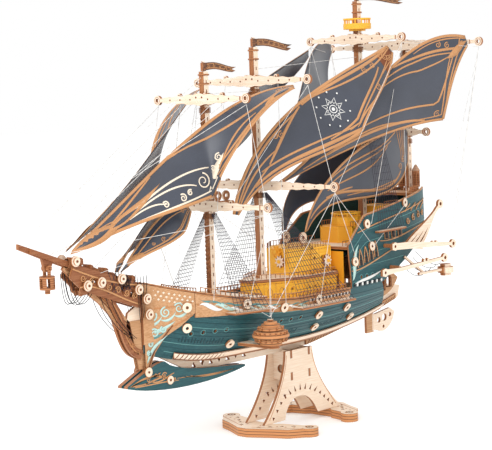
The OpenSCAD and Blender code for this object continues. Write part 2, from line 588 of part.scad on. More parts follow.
module crows_nest() color("gold") afloat() translate([mizzen_x, 0, nest_z]) difference() {
    union() {
        cylinder(r = 9, h = 2);
        translate([0, 0, 2 - eps]) cylinder(r = 15, h = 6);
        for (a = [0 : 30 : 359]) rotate(a) translate([13.6, 0, 8 - eps]) cylinder(r = 0.7, h = 4.2, $fn = 8);
        translate([0, 0, 12]) difference() {
            cylinder(r = 15, h = 1.6);
            translate([0, 0, -1]) cylinder(r = 12.4, h = 4);
        }
    }
    translate([0, 0, 4]) cylinder(r = 12, h = 20);
    translate([-mast_h - gap, -mast_h - gap, -1]) cube([mast_w + 2 * gap, mast_w + 2 * gap, 20]);
}

// ---- sails ------------------------------------------------------------------

function sprit_z(x) = 133 - (x + bow_len + 142) * 0.385;
jib_tack_x = -bow_len - 26;
fore_tack_x = -bow_len - 89;
clew_ring = [73, 14, upper_z + upper_h + ring_d / 2 + 4.5];

// Pair of curved sails, each between an upper edge and a foot and leech that meet at the clew
module sails(head, tack, clew, up_a, up_b, foot_a, foot_b, leech_a, leech_b, corner, belly) {
    upper = edge(tack, up_a, up_b, head);
    foot = edge(tack, foot_a, foot_b, clew);
    leech = edge(clew, leech_a, leech_b, head);
    nx = 14;
    nz = 4;
    function low(s) = s < corner ? bez(foot, s / corner) : bez(leech, (s - corner) / (1 - corner));
    function spot(s, t, side) = lerp(bez(upper, s), low(s), t)
        + [0, belly * 4 * t * (1 - t) * sin(180 * s) + side * sail_t / 2, 0];
    both_sides() sheet([for (i = [0 : nx]) [for (j = [nz : -1 : 0]) spot(lerp(0.03, 0.97, i / nx), j / nz, 1)]],
        [for (i = [0 : nx]) [for (j = [nz : -1 : 0]) spot(lerp(0.03, 0.97, i / nx), j / nz, -1)]]);
}
module jib_sails() color("darkslateblue") afloat() sails([fore_x - 32, 8, 150],
    [jib_tack_x, 2, sprit_z(jib_tack_x) + 7], [-106, 18, 129], [28, 3, 26], [-38, -3, 13], [13, 12, 20], [-21, -1, -14], [3, 2, 6], [-6, 3, -8], 0.72, 2);
module fore_sails() color("darkslateblue") afloat() sails([main_x - 6, main_yard - 8, main_yard_z - 6],
    [fore_tack_x, 4, sprit_z(fore_tack_x) + 6.6], [-85, 38, 162], [106, -1, 60], [-68, -49, 3], [55, 14, 24], [-53, -2, -11],
    [-3, 24, 43], [-50, 1, -9], 0.56, 5);
module main_sails() color("darkslateblue") afloat() sails([mizzen_x - 11, mizzen_yard - 8, mizzen_yard_z - 7],
    [-32, 12, 130], [98, 76, 217], [-11, 28, 110], [-79, -5, -31], [23, 30, 68], [-44, -10, -29], [11, 4, 31],
    [-10, 11, -35], 0.66, 5);
module mizzen_sails() color("darkslateblue") afloat() sails([jigger_x - 8, jigger_yard - 7, jigger_yard_z + 3],
    [30, 8, 160], [242, 72, 221], [103, 18, 44], [-96, -26, 29], [87, 16, 32], [-58, -24, -3], [-7, 14, 31],
    [-25, -4, -23], 0.68, 5);
module jigger_sails() color("darkslateblue") afloat() sails([jigger_x - 7, 6, jigger_low_z + 4], clew_ring,
    [jigger_x - 8, 6, jigger_low_z - 34], [-3, 13, 68], [-70, 16, 6], [29, 8, 69], [-52, 18, -66], [1, 0, 12],
    [0, 0, -12], 0.8, 2);

// ---- bow ----------------------------------------------------------------------

lantern_x = -bow_len - 110;
lantern_z = sprit_z(lantern_x) - 10;
module bowsprit() color("sienna") afloat() {
    tip = -bow_len - 142;
    heel = -bow_len + 18;
    fore_aft(0, ply) polygon([[tip, sprit_z(tip) - 2.4], [lantern_x - 6, sprit_z(lantern_x - 6) - 3.4],
        [lantern_x - 3, lantern_z - 3], [lantern_x + 3, lantern_z - 3], [lantern_x + 6, sprit_z(lantern_x + 6) - 3.6],
        [heel, sprit_z(heel) - 4.4], [heel, sprit_z(heel) + 4.4], [tip, sprit_z(tip) + 2.4]]);
    both_sides() fore_aft(ply / 2 + 1 + eps, 2) polygon([[tip + 12, sprit_z(tip + 12) - 2.2],
        [-bow_len - 5, sprit_z(-bow_len - 5) - 4], [-bow_len - 5, sprit_z(-bow_len - 5) + 4],
        [tip + 12, sprit_z(tip + 12) + 2.2]]);
    translate([lantern_x, 5, lantern_z]) rotate([90, 0, 0]) cylinder(r = pin_r, h = 10, $fn = 32);
}
module beakhead_rails() color("saddlebrown") afloat() both_sides() fore_aft(ply / 2 + gap + ply + 1.2, 2)
    difference() {
        union() {
            polygon([[-bow_len - 5, 62], [-bow_len - 5, 86], [-bow_len - 84, 112],
                [-bow_len - 89, 100], [-bow_len - 74, 86]]);
            translate([-bow_len - 72, 88]) circle(r = 5.4);
        }
        translate([-bow_len - 72, 88]) circle(r = 2);
        for (k = [0 : 4]) translate([-bow_len - 14 - 12 * k, 77 + 4.6 * k]) rotate(k % 2 * 180)
            polygon([[-4.4, -3.4], [4.4, -3.4], [0, 4.4]]);
    }
module bow_lantern() color("burlywood") afloat() translate([lantern_x, 0, lantern_z]) {
    both_sides() fore_aft(ply / 2 + 1.7, 1.6) difference() {
        union() {
            circle(r = 3);
            translate([-1.4, -8]) square([2.8, 7]);
        }
        circle(r = bore_r, $fn = 32);
    }
    difference() {
        translate([0, 0, -19]) cylinder(r = 7, h = 12);
        translate([0, 0, -17]) cylinder(r = 5, h = 8);
        for (a = [0 : 60 : 359]) rotate(a) translate([3, -1.6, -17]) cube([6, 3.2, 8]);
    }
    translate([0, 0, -23]) cylinder(r = 2.4, h = 4 + eps);
}

// ---- stern pieces ---------------------------------------------------------------

module stern_lanterns() color("burlywood") afloat() for (s = [-1, 1])
    translate([jigger_x + 1, s * 10, rail_at(stern_len) - 6 + ply]) {
        cylinder(r = 2, h = 4);
        difference() {
            translate([0, 0, 4 - eps]) cylinder(r = 4.4, h = 18, $fn = 8);
            for (a = [22.5 : 45 : 359]) rotate(a) translate([2, -0.9, 7]) cube([6, 1.8, 12]);
        }
        translate([0, 0, 22 - 2 * eps]) cylinder(r1 = 5, r2 = 1, h = 7, $fn = 8);
    }
module boom(x0, z0, x1, z1, y) fore_aft(y, ply) difference() {
    union() {
        polygon([[x0, z0 - 3.4], [x1, z1 - 1.7], [x1, z1 + 1.7], [x0 + 30, z0 + 2.6], [x0, z0 + 3.4]]);
        translate([x1, z1]) circle(d = ring_d);
        translate([x0 + 5, z0]) circle(r = 4.4);
        for (t = [0.66, 0.72]) translate([lerp(x0, x1, t), lerp(z0, z1, t) + 2.6]) circle(r = 1.8, $fn = 16);
    }
    translate([x1, z1]) circle(d = ring_d * 0.42, $fn = 24);
    translate([x0 + 5, z0]) circle(r = 1.6, $fn = 24);
}
boom_y = half_beam + 8;
module stern_booms() color("bisque") afloat() both_sides() {
    boom(160, 90, 270, 83, boom_y);
    boom(142, 64, 254, 69, boom_y);
    for (p = [[168, 90], [176, 66]]) translate([p.x, hull_y(p.x, p.y) + gap, p.y]) rotate([-90, 0, 0])
        cylinder(r = 2.2, h = boom_y - ply / 2 - hull_y(p.x, p.y) - gap);
    translate([236, boom_y - 6, 55]) rotate([0, 90, 0]) cylinder(r = 1.6, h = 20);
    translate([214, boom_y - 6, 55]) rotate([0, 90, 0]) cylinder(r = 1.6, h = 22 + eps);
    translate([216, boom_y - 6 - eps, 55]) rotate([-90, 0, 0]) cylinder(r = 1.4, h = 1 + eps);
    for (k = [0 : 3]) translate([264, boom_y - 6, 48 + 3.2 * k]) cylinder(r = [6, 9, 9, 6][k], h = 3.2 + eps);
    rod([206, hull_y(206, 74) + 0.6, 74], [222, boom_y - 6, 56], 1.5, 16);
}
fan_y = half_beam - 6;
module stern_fans() color("wheat") afloat() both_sides() fore_aft(fan_y, ply) difference() {
    union() {
        for (k = [0 : 3]) polygon(band(edge([204 + 8 * k, 88 - k], [18, 12], [-16, -14 + 2 * k],
            [266, 126]), 4, 3));
        polygon([[200, 84], [232, 80], [232, 87], [200, 91]]);
        translate([267, 127]) circle(d = ring_d);
    }
    translate([267, 127]) circle(d = ring_d * 0.42, $fn = 24);
}

rudder_x = 199;
module rudder() color("wheat") afloat() translate([rudder_x, 0, 0]) {
    difference() {
        translate([0, 0, -9]) cylinder(r = 2.6, h = 18, $fn = 32);
        cylinder(r = bore_r, h = 60, center = true, $fn = 32);
    }
    difference() {
        fore_aft(0, ply) polygon(concat([[0, 8], [30, 12.5], [38, 8]],
            [for (i = [0 : 6]) bez(edge([38, 8], [0, -12], [8, -2], [14, -12]), i / 6)], [[0, -8]]));
        cylinder(r = 2, h = 60, center = true, $fn = 32);
        for (p = [[10, 1, 3], [20, 3, 4], [30, 5, 2.4], [18, -7, 1.8]]) translate([p.x, 5, p.y])
            rotate([90, 0, 0]) cylinder(r = p.z, h = 10, $fn = 24);
    }
}

// ---- moving pieces ----------------------------------------------------------------

// Flat gear with tapered teeth, one tooth on its +x axis
module gear2d() difference() {
    union() {
        circle(r = gear_r - 1.2);
        for (k = [0 : gear_teeth - 1]) rotate(k * 360 / gear_teeth)
            polygon([[gear_r - 2, -1.15], [gear_r + 1, -0.4], [gear_r + 1, 0.4], [gear_r - 2, 1.15]]);
    }
    circle(r = bore_r, $fn = 32);
}
gear_bearing = atan2(gear_lift, gear_side_step);
module front_gear(p, turn) translate([47 - 0.7, p.x, p.y]) rotate([0, -90, 0]) linear_extrude(2.4)
    rotate(turn) gear2d();
module gear_driver() color("bisque") afloat() front_gear(gear_spots[0], -gear_bearing + 90);
module gear_driven() color("orange") afloat()
    front_gear(gear_spots[1], -gear_bearing - 90 + 180 / gear_teeth);
module gear_side() color("bisque") afloat() translate([89, -28.7, upper_z + 12]) rotate([90, 0, 0])
    linear_extrude(2.4) gear2d();

turret_x = -39;
turret_y = half_beam + 12;
turret_z = 15;
turret_in = hull_y(turret_x, turret_z) + 2 * gap;
turret_discs = [[0.6, 3], [0.82, 3], [0.66, 1.2], [1, 3], [0.86, 3], [0.55, 1.2], [0.66, 3], [0.5, 2.4], [0.36, 2.4]];
function height_of(k) = k < 0 ? 0 : turret_discs[k][1] + height_of(k - 1);
turret_stack = height_of(8) + 0.4;
module side_turret() afloat() translate([turret_x, turret_y, turret_z + 0.4]) difference() {
    union() {
        for (k = [0 : 8]) translate([0, 0, height_of(k - 1) - eps])
            cylinder(r = turret_r * turret_discs[k][0], h = turret_discs[k][1] + eps);
        for (a = [0 : 45 : 359]) rotate(a) translate([turret_r * 0.9, 0, 6]) cylinder(r = 0.9, h = 2, $fn = 12);
    }
    cylinder(r = bore_r, h = 90, center = true, $fn = 32);
}
module side_turret_starboard() color("chocolate") side_turret();
module side_turret_port() color("chocolate") mirror([0, 1, 0]) side_turret();

// ---- rigging -----------------------------------------------------------------------

module net(apex, foot_a, foot_b, top_w) {
    nx = 6;
    grid = [for (i = [0 : nx]) [for (j = [1 : -1 : 0]) let (t = i / nx)
        lerp([lerp(foot_a, foot_b, t).x, lerp(foot_a, foot_b, t).y, lerp(foot_a, foot_b, t).z],
            apex + [lerp(-top_w, top_w, t), 0, 0], 1 - j)]];
    sheet([for (row = grid) [for (p = row) p + [0, 0.3, 0]]], [for (row = grid) [for (p = row) p - [0, 0.3, 0]]]);
}
// Foot of a shroud net, on the outer edge of a channel board
function net_foot(x, z) = [x, hull_y(x, z) + channel_w - 1, z + 2.1];
module shroud_nets() color("dimgray") afloat() both_sides() {
    net([fore_x + 2, mast_h + 2, fore_low_z - 8], net_foot(-72, fore_channel_z), net_foot(-33, fore_channel_z), 3);
    net([main_x + 4, mast_h + 2, main_low_z - 8], net_foot(12, main_channel_z), net_foot(92, main_channel_z), 3);
    net([mizzen_x, mast_h + 2, mizzen_yard_z - 30], [156, hull_y(156, 106) + 4, poop_deck_z + 16],
        [206, hull_y(206, 106) + 4, poop_deck_z + 16], 3);
}
function yard_end(x, half, z) = [x - mast_h - ply / 2, half, z];
module rigging() color("white") afloat() {
    r = 0.35;
    rod([-bow_len - 138, 0, sprit_z(-bow_len - 138) + 4], [fore_x - mast_h - 0.5, 0, fore_top - 6], r);
    rod([fore_x + mast_h + 0.5, 0, fore_top - 22], [main_x - mast_h - 0.5, 0, main_top - 44], r);
    rod([main_x + mast_h + 0.5, 0, main_top - 22], [mizzen_x - mast_h - 0.5, 0, mizzen_top - 60], r);
    both_sides() {
        rod([-bow_len - 132, 2, sprit_z(-bow_len - 132) + 4], yard_end(fore_x, fore_yard, fore_yard_z - 6), r);
        rod([-bow_len - 100, 4.6, sprit_z(-bow_len - 100) + 5], yard_end(fore_x, fore_yard + 23, fore_low_z - 6), r);
        rod(yard_end(fore_x, fore_yard + 23, fore_low_z - 6), [-51, hull_y(-51, 55) + 5, 56], r);
        rod(yard_end(fore_x, fore_yard + 23, fore_low_z - 6), [turret_x, turret_y, turret_z + turret_stack + 3], r);
        rod(yard_end(main_x, main_yard + 30, main_low_z - 6), [44, hull_y(44, 46) + 6, 48], r);
        rod(yard_end(main_x, main_yard + 30, main_low_z - 6), [110, hull_y(110, 79) + 4, 80], r);
        rod(yard_end(jigger_x, jigger_yard, jigger_yard_z - 6), [270, boom_y, 83 + ring_d / 2 + 0.5], r);
    }
}

stand_foot_front();
stand_foot_rear();
stand_side_port();
stand_side_starboard();
stand_yokes();
keel_board();
keel_rails();
bulkheads();
hull_side_port();
hull_side_starboard();
bow_panels();
ram_cheeks();
cutwater_knees();
stern_quarters();
gunwale_bands();
channel_boards();
stern_counter();
stern_galleries();
taffrail();
fore_deck();
main_deck();
poop_deck();
hull_rings();
lower_cabin();
cabin_roof();
upper_cabin();
aft_cabin();
stern_cabin();
lookout_turret();
fore_mast();
main_mast();
mizzen_mast();
jigger_mast();
fore_yards();
main_yards();
mizzen_yard_arm();
jigger_yards();
pennant_fore();
pennant_main();
pennant_mizzen();
crows_nest();
jib_sails();
fore_sails();
main_sails();
mizzen_sails();
jigger_sails();
bowsprit();
beakhead_rails();
bow_lantern();
stern_lanterns();
stern_booms();
stern_fans();
rudder();
gear_driver();
gear_driven();
gear_side();
side_turret_port();
side_turret_starboard();
shroud_nets();
rigging();
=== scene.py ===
"""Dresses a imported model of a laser-cut plywood sailing ship: sails, ropes, nets, carving and finishes."""
import math

import bmesh
import bpy
from mathutils import Matrix, Vector


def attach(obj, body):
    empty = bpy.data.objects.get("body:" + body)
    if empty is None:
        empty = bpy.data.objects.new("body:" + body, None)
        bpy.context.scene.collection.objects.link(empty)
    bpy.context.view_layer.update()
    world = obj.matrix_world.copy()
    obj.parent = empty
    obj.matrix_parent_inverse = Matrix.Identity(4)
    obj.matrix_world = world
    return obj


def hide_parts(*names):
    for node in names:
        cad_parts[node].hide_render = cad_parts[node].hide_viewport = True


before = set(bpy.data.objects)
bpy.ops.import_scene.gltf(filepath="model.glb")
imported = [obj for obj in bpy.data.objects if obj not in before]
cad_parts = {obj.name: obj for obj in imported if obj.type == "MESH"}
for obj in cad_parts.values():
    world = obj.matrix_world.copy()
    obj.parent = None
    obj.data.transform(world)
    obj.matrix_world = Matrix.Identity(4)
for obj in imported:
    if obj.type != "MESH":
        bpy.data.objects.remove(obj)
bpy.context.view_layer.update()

bl_info = {
    "name": "Plywood sailing ship",
    "version": (1, 0, 0),
    "blender": (4, 5, 0),
    "location": "View3D > Sidebar > Ship",
    "description": "Sails, rigging, carving and finishes of a laser-cut plywood sailing ship",
    "category": "Object",
}

MM = 0.001
KEEL_Z = 88      # underside of the planking above the floor, mm
STEM_X = -152
BEAM = 52
SHEET = 3        # thickness of a sheet of ply
MAST = 3.2       # half the side of a mast
FORE_X, MAIN_X, MIZZEN_X, JIGGER_X = -53, 20, 188, 272
FORE_TOP, MAIN_TOP, MIZZEN_TOP, JIGGER_TOP = 281, 304, 352, 308
FORE_YARD, MAIN_YARD, MIZZEN_YARD, JIGGER_YARD = 60, 75, 63, 103
FORE_YARD_Z, MAIN_YARD_Z, MIZZEN_YARD_Z, JIGGER_YARD_Z = 254, 270, 311, 304
FORE_LOW_Z, MAIN_LOW_Z, JIGGER_LOW_Z = 150, 165, 207
FORE_LOW, MAIN_LOW = 83, 105
FORE_CHANNEL_Z, MAIN_CHANNEL_Z, CHANNEL_W = 47, 42, 15
TURRET = (-39, 64, 15)
BOOM_Y = 60
GAP = 0.2        # between the keel board and the boards beside it


# ---- colours, sizes -------------------------------------------------------------

def colour(code):
    """Linear colour of an sRGB hex code."""
    parts = [int(code[i:i + 2], 16) / 255 for i in (1, 3, 5)]
    return [p / 12.92 if p <= 0.04045 else ((p + 0.055) / 1.055) ** 2.4 for p in parts] + [1.0]


def swatch(label, code):
    """Colour that a user may change."""
    return bpy.props.FloatVectorProperty(name=label, description=label + " of the ship", subtype="COLOR",
                                         size=4, min=0, max=1, default=colour(code))


def length(label, value):
    """Length in metres that a user may change, given here in mm."""
    return bpy.props.FloatProperty(name=label, description=label + " on the ship", unit="LENGTH",
                                   precision=5, min=0.0, default=value * MM)


class ShipSizes(bpy.types.PropertyGroup):
    """Sizes of what is laid on the plywood."""
    thread: length("Rigging thread diameter", 0.5)
    net_cord: length("Net cord diameter", 0.5)
    lashing: length("Lashing cord diameter", 0.9)
    sail: length("Sail veneer thickness", 0.8)
    print_lift: length("Height of the printed lines", 0.16)
    grain: length("Width of the wood grain", 0.9)
    veneer: length("Thickness of one veneer in the ply", 1.0)


class ShipColours(bpy.types.PropertyGroup):
    """Colours of the printed and bare plywood."""
    cream: swatch("Bare basswood", "#f7e6d3")
    cream_deep: swatch("Basswood grain", "#e9cdb0")
    tan: swatch("Tan stain", "#d0a37b")
    tan_deep: swatch("Tan stain grain", "#ac7a4d")
    char: swatch("Laser-charred edge", "#7d4526")
    char_light: swatch("Lighter charred veneer", "#c98a58")
    brown: swatch("Brown stain", "#9d6743")
    teal: swatch("Teal print", "#285c60")
    teal_deep: swatch("Dark teal print", "#19434a")
    teal_line: swatch("Pale teal line", "#5f9695")
    yellow: swatch("Yellow print", "#fac846")
    orange: swatch("Orange print", "#f0a62a")
    sail: swatch("Slate-blue sail print", "#3f4451")
    sail_deep: swatch("Dark sail print", "#2b2e38")
    gold: swatch("Gold print", "#cd9462")
    pale: swatch("Pale print", "#f6e6cf")
    white: swatch("White print", "#f7f6f2")
    turquoise: swatch("Pale turquoise print", "#bfe0d8")
    black: swatch("Black print", "#1d1b1e")
    thread: swatch("White thread", "#e9e6e2")
    net: swatch("Grey net cord", "#4b4650")
    floor: swatch("Studio floor", "#fbfbfa")


class ShipCamera(bpy.types.PropertyGroup):
    """Where the ship is seen from."""
    azimuth: bpy.props.FloatProperty(name="Azimuth", description="Turn of the camera round the ship",
                                     subtype="ANGLE", default=math.radians(-47))
    elevation: bpy.props.FloatProperty(name="Elevation", description="Height angle of the camera",
                                       subtype="ANGLE", default=math.radians(5.1))
    roll: bpy.props.FloatProperty(name="Roll", description="Turn of the camera about its view",
                                  subtype="ANGLE", default=math.radians(2.1))
    distance: length("Camera distance", 1603)
    aim_z: length("Height looked at", 213.8)
    lens: bpy.props.FloatProperty(name="Lens", description="Focal length in millimetres", default=116.3)


def sizes():
    return bpy.context.scene.ship_sizes


def shade(name):
    return list(getattr(bpy.context.scene.ship_colours, name))


# ---- materials --------------------------------------------------------------------

def add_node(tree, kind, inputs=(), **settings):
    """One node with its settings; an input that is a socket is linked, anything else is its value."""
    node = tree.nodes.new(kind)
    for key, value in settings.items():
        setattr(node, key, value)
    for key, value in dict(inputs).items():
        if isinstance(value, bpy.types.NodeSocket):
            tree.links.new(value, node.inputs[key])
        else:
            node.inputs[key].default_value = value
    return node


def blank_material(name):
    """An empty material, or None with the finished one if it was made before."""
    made = bpy.data.materials.get(name)
    if made:
        return made, None
    material = bpy.data.materials.new(name)
    material.use_nodes = True
    tree = material.node_tree
    tree.nodes.clear()
    return material, tree


def close_material(tree, base, roughness, bump=None, bump_mm=0.1, **sockets):
    """The surface shader with its colour, roughness and relief, and values on its own sockets."""
    inputs = {"Base Color": base, "Roughness": roughness}
    for key, value in sockets.items():
        inputs[key.replace("_", " ")] = value
    if bump is not None:
        inputs["Normal"] = add_node(tree, "ShaderNodeBump", {"Strength": 0.6, "Distance": bump_mm * MM,
                                                             "Height": bump}).outputs[0]
    shader = add_node(tree, "ShaderNodeBsdfPrincipled", inputs)
    add_node(tree, "ShaderNodeOutputMaterial", {"Surface": shader.outputs[0]})


def blend_colours(tree, factor, first, second):
    return add_node(tree, "ShaderNodeMix", {0: factor, 6: first, 7: second}, data_type="RGBA").outputs[2]


def laser_cut_ply(name, face, deep, sheet="y", grain="x", edge=(0.42, 0.6), roughness=0.55, seams=0.0):
    """Basswood ply cut by laser: a fine-grained satin face, and charred edges that show the veneers.

    sheet is the axis that the sheet faces, and grain the axis that the grain runs along. Wherever the surface
    turns away from the sheet's axis it is a cut edge, browned by the laser.
    """
    material, tree = blank_material(name)
    if tree is None:
        return material
    coords = add_node(tree, "ShaderNodeTexCoord")
    along, across = 45, 1 / sizes().grain
    stretch = [along if axis == grain else across for axis in "xyz"]
    mapped = add_node(tree, "ShaderNodeMapping", {"Vector": coords.outputs["Object"], "Scale": stretch})
    fibre = add_node(tree, "ShaderNodeTexNoise", {"Vector": mapped.outputs[0], "Scale": 1.0, "Detail": 3.0,
                                                  "Roughness": 0.6})
    cloud = add_node(tree, "ShaderNodeTexNoise", {"Vector": coords.outputs["Object"], "Scale": 28.0,
                                                  "Detail": 2.0})
    fibre_tone = add_node(tree, "ShaderNodeMapRange", {0: fibre.outputs[0], 1: 0.35, 2: 0.7})
    cloud_tone = add_node(tree, "ShaderNodeMapRange", {0: cloud.outputs[0], 1: 0.3, 2: 0.7, 3: 0.0, 4: 0.35})
    tone = blend_colours(tree, fibre_tone.outputs[0], shade(face), shade(deep))
    tone = blend_colours(tree, cloud_tone.outputs[0], tone, shade(deep))
    normal = add_node(tree, "ShaderNodeSeparateXYZ", {0: coords.outputs["Normal"]})
    facing = add_node(tree, "ShaderNodeMath", {0: normal.outputs["xyz".index(sheet)]}, operation="ABSOLUTE")
    on_face = add_node(tree, "ShaderNodeMapRange", {0: facing.outputs[0], 1: edge[0], 2: edge[1]})
    place = add_node(tree, "ShaderNodeSeparateXYZ", {0: coords.outputs["Object"]})
    veneer = add_node(tree, "ShaderNodeMath", {0: place.outputs["xyz".index(sheet)],
                                               1: math.pi / sizes().veneer}, operation="MULTIPLY")
    stripe = add_node(tree, "ShaderNodeMath", {0: veneer.outputs[0]}, operation="SINE")
    stripe_tone = add_node(tree, "ShaderNodeMapRange",
                           {0: stripe.outputs[0], 1: -0.6, 2: 0.6, 3: 0.15, 4: 0.8})
    cut = blend_colours(tree, stripe_tone.outputs[0], shade("char"), shade("char_light"))
    cut = blend_colours(tree, cloud_tone.outputs[0], cut, shade("char"))
    if seams:
        row = add_node(tree, "ShaderNodeMath", {0: place.outputs["xyz".index(sheet)], 1: 1 / (seams * MM)},
                       operation="MULTIPLY")
        part = add_node(tree, "ShaderNodeMath", {0: row.outputs[0]}, operation="FRACT")
        middle = add_node(tree, "ShaderNodeMath", {0: part.outputs[0], 1: 0.5}, operation="SUBTRACT")
        away = add_node(tree, "ShaderNodeMath", {0: middle.outputs[0]}, operation="ABSOLUTE")
        joint = add_node(tree, "ShaderNodeMapRange", {0: away.outputs[0], 1: 0.38, 2: 0.46})
        cut = blend_colours(tree, joint.outputs[0], shade("char_light"), shade("black"))
    base = blend_colours(tree, on_face.outputs[0], cut, tone)
    close_material(tree, base, roughness, fibre.outputs[0], 0.12, Specular_IOR_Level=0.35)
    return material


def print_finish(name, tint, roughness=0.5, sheen=0.0, speckle=0.35, second=None, specular=0.4):
    """Matt ink printed on veneer: an even tint broken by a fine speckle about 0.7 mm across."""
    material, tree = blank_material(name)
    if tree is None:
        return material
    coords = add_node(tree, "ShaderNodeTexCoord")
    fine = add_node(tree, "ShaderNodeTexNoise", {"Vector": coords.outputs["Object"], "Scale": 1400.0,
                                                 "Detail": 2.0})
    broad = add_node(tree, "ShaderNodeTexNoise", {"Vector": coords.outputs["Object"], "Scale": 22.0,
                                                  "Detail": 3.0})
    dark = shade(second) if second else [c * 0.72 for c in shade(tint)[:3]] + [1.0]
    mottle = add_node(tree, "ShaderNodeMapRange", {0: fine.outputs[0], 1: 0.3, 2: 0.7, 3: 0.0, 4: speckle})
    drift = add_node(tree, "ShaderNodeMapRange", {0: broad.outputs[0], 1: 0.35, 2: 0.65, 3: 0.0, 4: 0.5})
    base = blend_colours(tree, mottle.outputs[0], shade(tint), dark)
    base = blend_colours(tree, drift.outputs[0], base, dark)
    close_material(tree, base, roughness, fine.outputs[0], 0.05, Specular_IOR_Level=specular,
                   Sheen_Weight=sheen)
    return material


def twisted_cord(name, tint, pitch_mm=1.4):
    """Twisted cotton thread: matt, with the lay of its strands as a slanting dark line."""
    material, tree = blank_material(name)
    if tree is None:
        return material
    coords = add_node(tree, "ShaderNodeTexCoord")
    lay = add_node(tree, "ShaderNodeTexWave", {"Vector": coords.outputs["Object"],
                                               "Scale": 1 / (pitch_mm * MM) / 10, "Distortion": 1.0},
                   bands_direction="DIAGONAL")
    dark = [c * 0.55 for c in shade(tint)[:3]] + [1.0]
    tone = add_node(tree, "ShaderNodeMapRange", {0: lay.outputs[1], 3: 0.0, 4: 0.6})
    base = blend_colours(tree, tone.outputs[0], shade(tint), dark)
    close_material(tree, base, 0.8, lay.outputs[1], 0.05, Specular_IOR_Level=0.2)
    return material


# Finishes of this ship
def basswood(sheet="y", grain="x"):
    return laser_cut_ply(f"laser-cut basswood ply {sheet}{grain}", "cream", "cream_deep", sheet, grain)


def tan_ply(sheet="y", grain="x"):
    return laser_cut_ply(f"tan-stained ply {sheet}{grain}", "tan", "tan_deep", sheet, grain)


def brown_ply(sheet="y", grain="x"):
    return laser_cut_ply(f"charred brown ply {sheet}{grain}", "brown", "char", sheet, grain)


def teal_ply():
    return laser_cut_ply("teal-printed ply skin", "teal", "teal_deep", "y", "x", (0.12, 0.2), 0.45)


def yellow_ply():
    return laser_cut_ply("yellow-printed ply", "yellow", "orange", "z", "x", (-1.0, -0.9), 0.5)


def orange_ply():
    return laser_cut_ply("orange-printed ply", "orange", "orange", "z", "x", (-1.0, -0.9), 0.5)


def sail_veneer():
    return print_finish("slate-blue printed veneer", "sail", 0.38, 0.15, 0.4, "sail_deep", 0.6)


def gold_print():
    return print_finish("gold-printed veneer line", "gold", 0.5)


def pale_print():
    return print_finish("pale-printed veneer line", "pale", 0.5, speckle=0.1)


def white_print():
    return print_finish("white screen print", "white", 0.5, speckle=0.05)


def turquoise_print():
    return print_finish("pale turquoise print", "turquoise", 0.5, speckle=0.2)


def teal_line_print():
    return print_finish("pale teal scored line", "teal_line", 0.5, speckle=0.2)


def black_print():
    return print_finish("black print", "black", 0.5, speckle=0.1)


def char_mark():
    return print_finish("laser-engraved brown line", "char", 0.7)


def tan_mark():
    return print_finish("laser-engraved tan line", "char_light", 0.7)


def white_thread():
    return twisted_cord("white cotton thread", "thread")


def black_cord():
    return twisted_cord("black waxed cord", "black")


def net_cord():
    return twisted_cord("grey net cord", "net")


def brown_cord():
    return twisted_cord("brown lashing cord", "brown")


# ---- laying shapes on surfaces --------------------------------------------------------

def at(x, y, z):
    """A point of the ship, given in mm with its height above the underside of the planking."""
    return Vector((x, y, z + KEEL_Z)) * MM


def curve(points, t):
    """Point at t on a cubic curve."""
    a, b, c, d = (Vector(p) for p in points)
    u = 1 - t
    return a * u ** 3 + b * (3 * u * u * t) + c * (3 * u * t * t) + d * t ** 3


def edge(start, leave, reach, end):
    """Control points of a curve that leaves start along one handle and reaches end from the other."""
    start, end = Vector(start), Vector(end)
    return [start, start + Vector(leave), end + Vector(reach), end]


def normal_on(surface, a, b):
    """Unit normal of a surface at two of its own coordinates, and a unit vector along the first."""
    step = 0.01 if surface.unit else 0.5
    du = surface(a + step, b) - surface(a - step, b)
    dv = surface(a, b + step) - surface(a, b - step)
    out = du.cross(dv)
    if out.length < 1e-12:
        out = Vector((0, 1, 0))
    out = out.normalized()
    if out.y < 0:
        out = -out
    return out, (du.normalized() if du.length else Vector((1, 0, 0)))


class Surface:
    """A surface that shapes are laid on. unit is True where its coordinates run from 0 to 1."""

    def __init__(self, place, unit=False, lift=0.0):
        self.place = place
        self.unit = unit
        self.lift = lift

    def __call__(self, a, b):
        return self.place(a, b)

    def above(self, a, b):
        out, along = normal_on(self, a, b)
        return self.place(a, b) + out * self.lift, out, along


def set_mark(made, mark):
    """Gives the faces that an operator has made the material at index mark."""
    for face in {f for v in made["verts"] for f in v.link_faces}:
        face.material_index = mark


def lay_strip(bm, points, normals, widths, mark=0):
    """Flat strip along a line of points, square to the normals."""
    count = len(points) - 1
    made = bmesh.ops.create_grid(bm, x_segments=count, y_segments=1, size=0.5)
    for vert in made["verts"]:
        i = round((vert.co.x + 0.5) * count)
        side = 1 if vert.co.y > 0 else -1
        ahead = points[min(i + 1, count)] - points[max(i - 1, 0)]
        vert.co = points[i] + ahead.normalized().cross(normals[i]) * side * widths[i] * MM / 2
    set_mark(made, mark)


def lay_line(bm, line, width, mark=0):
    """Strip along places found by Surface.above; width is one width in mm or a list of them."""
    widths = width if isinstance(width, list) else [width] * len(line)
    lay_strip(bm, [p[0] for p in line], [p[1] for p in line], widths, mark)


def vein(bm, surface, route, width, mark=0, count=18, swell=0.25):
    """Printed line along a curve in the surface's own coordinates; it narrows to its ends by swell."""
    line = [surface.above(*curve([(*p, 0) for p in route], i / count)[:2]) for i in range(count + 1)]
    widths = [width * (swell + (1 - swell) * math.sin(math.pi * (0.08 + 0.84 * i / count)) ** 0.6)
              for i in range(count + 1)]
    lay_line(bm, line, widths, mark)


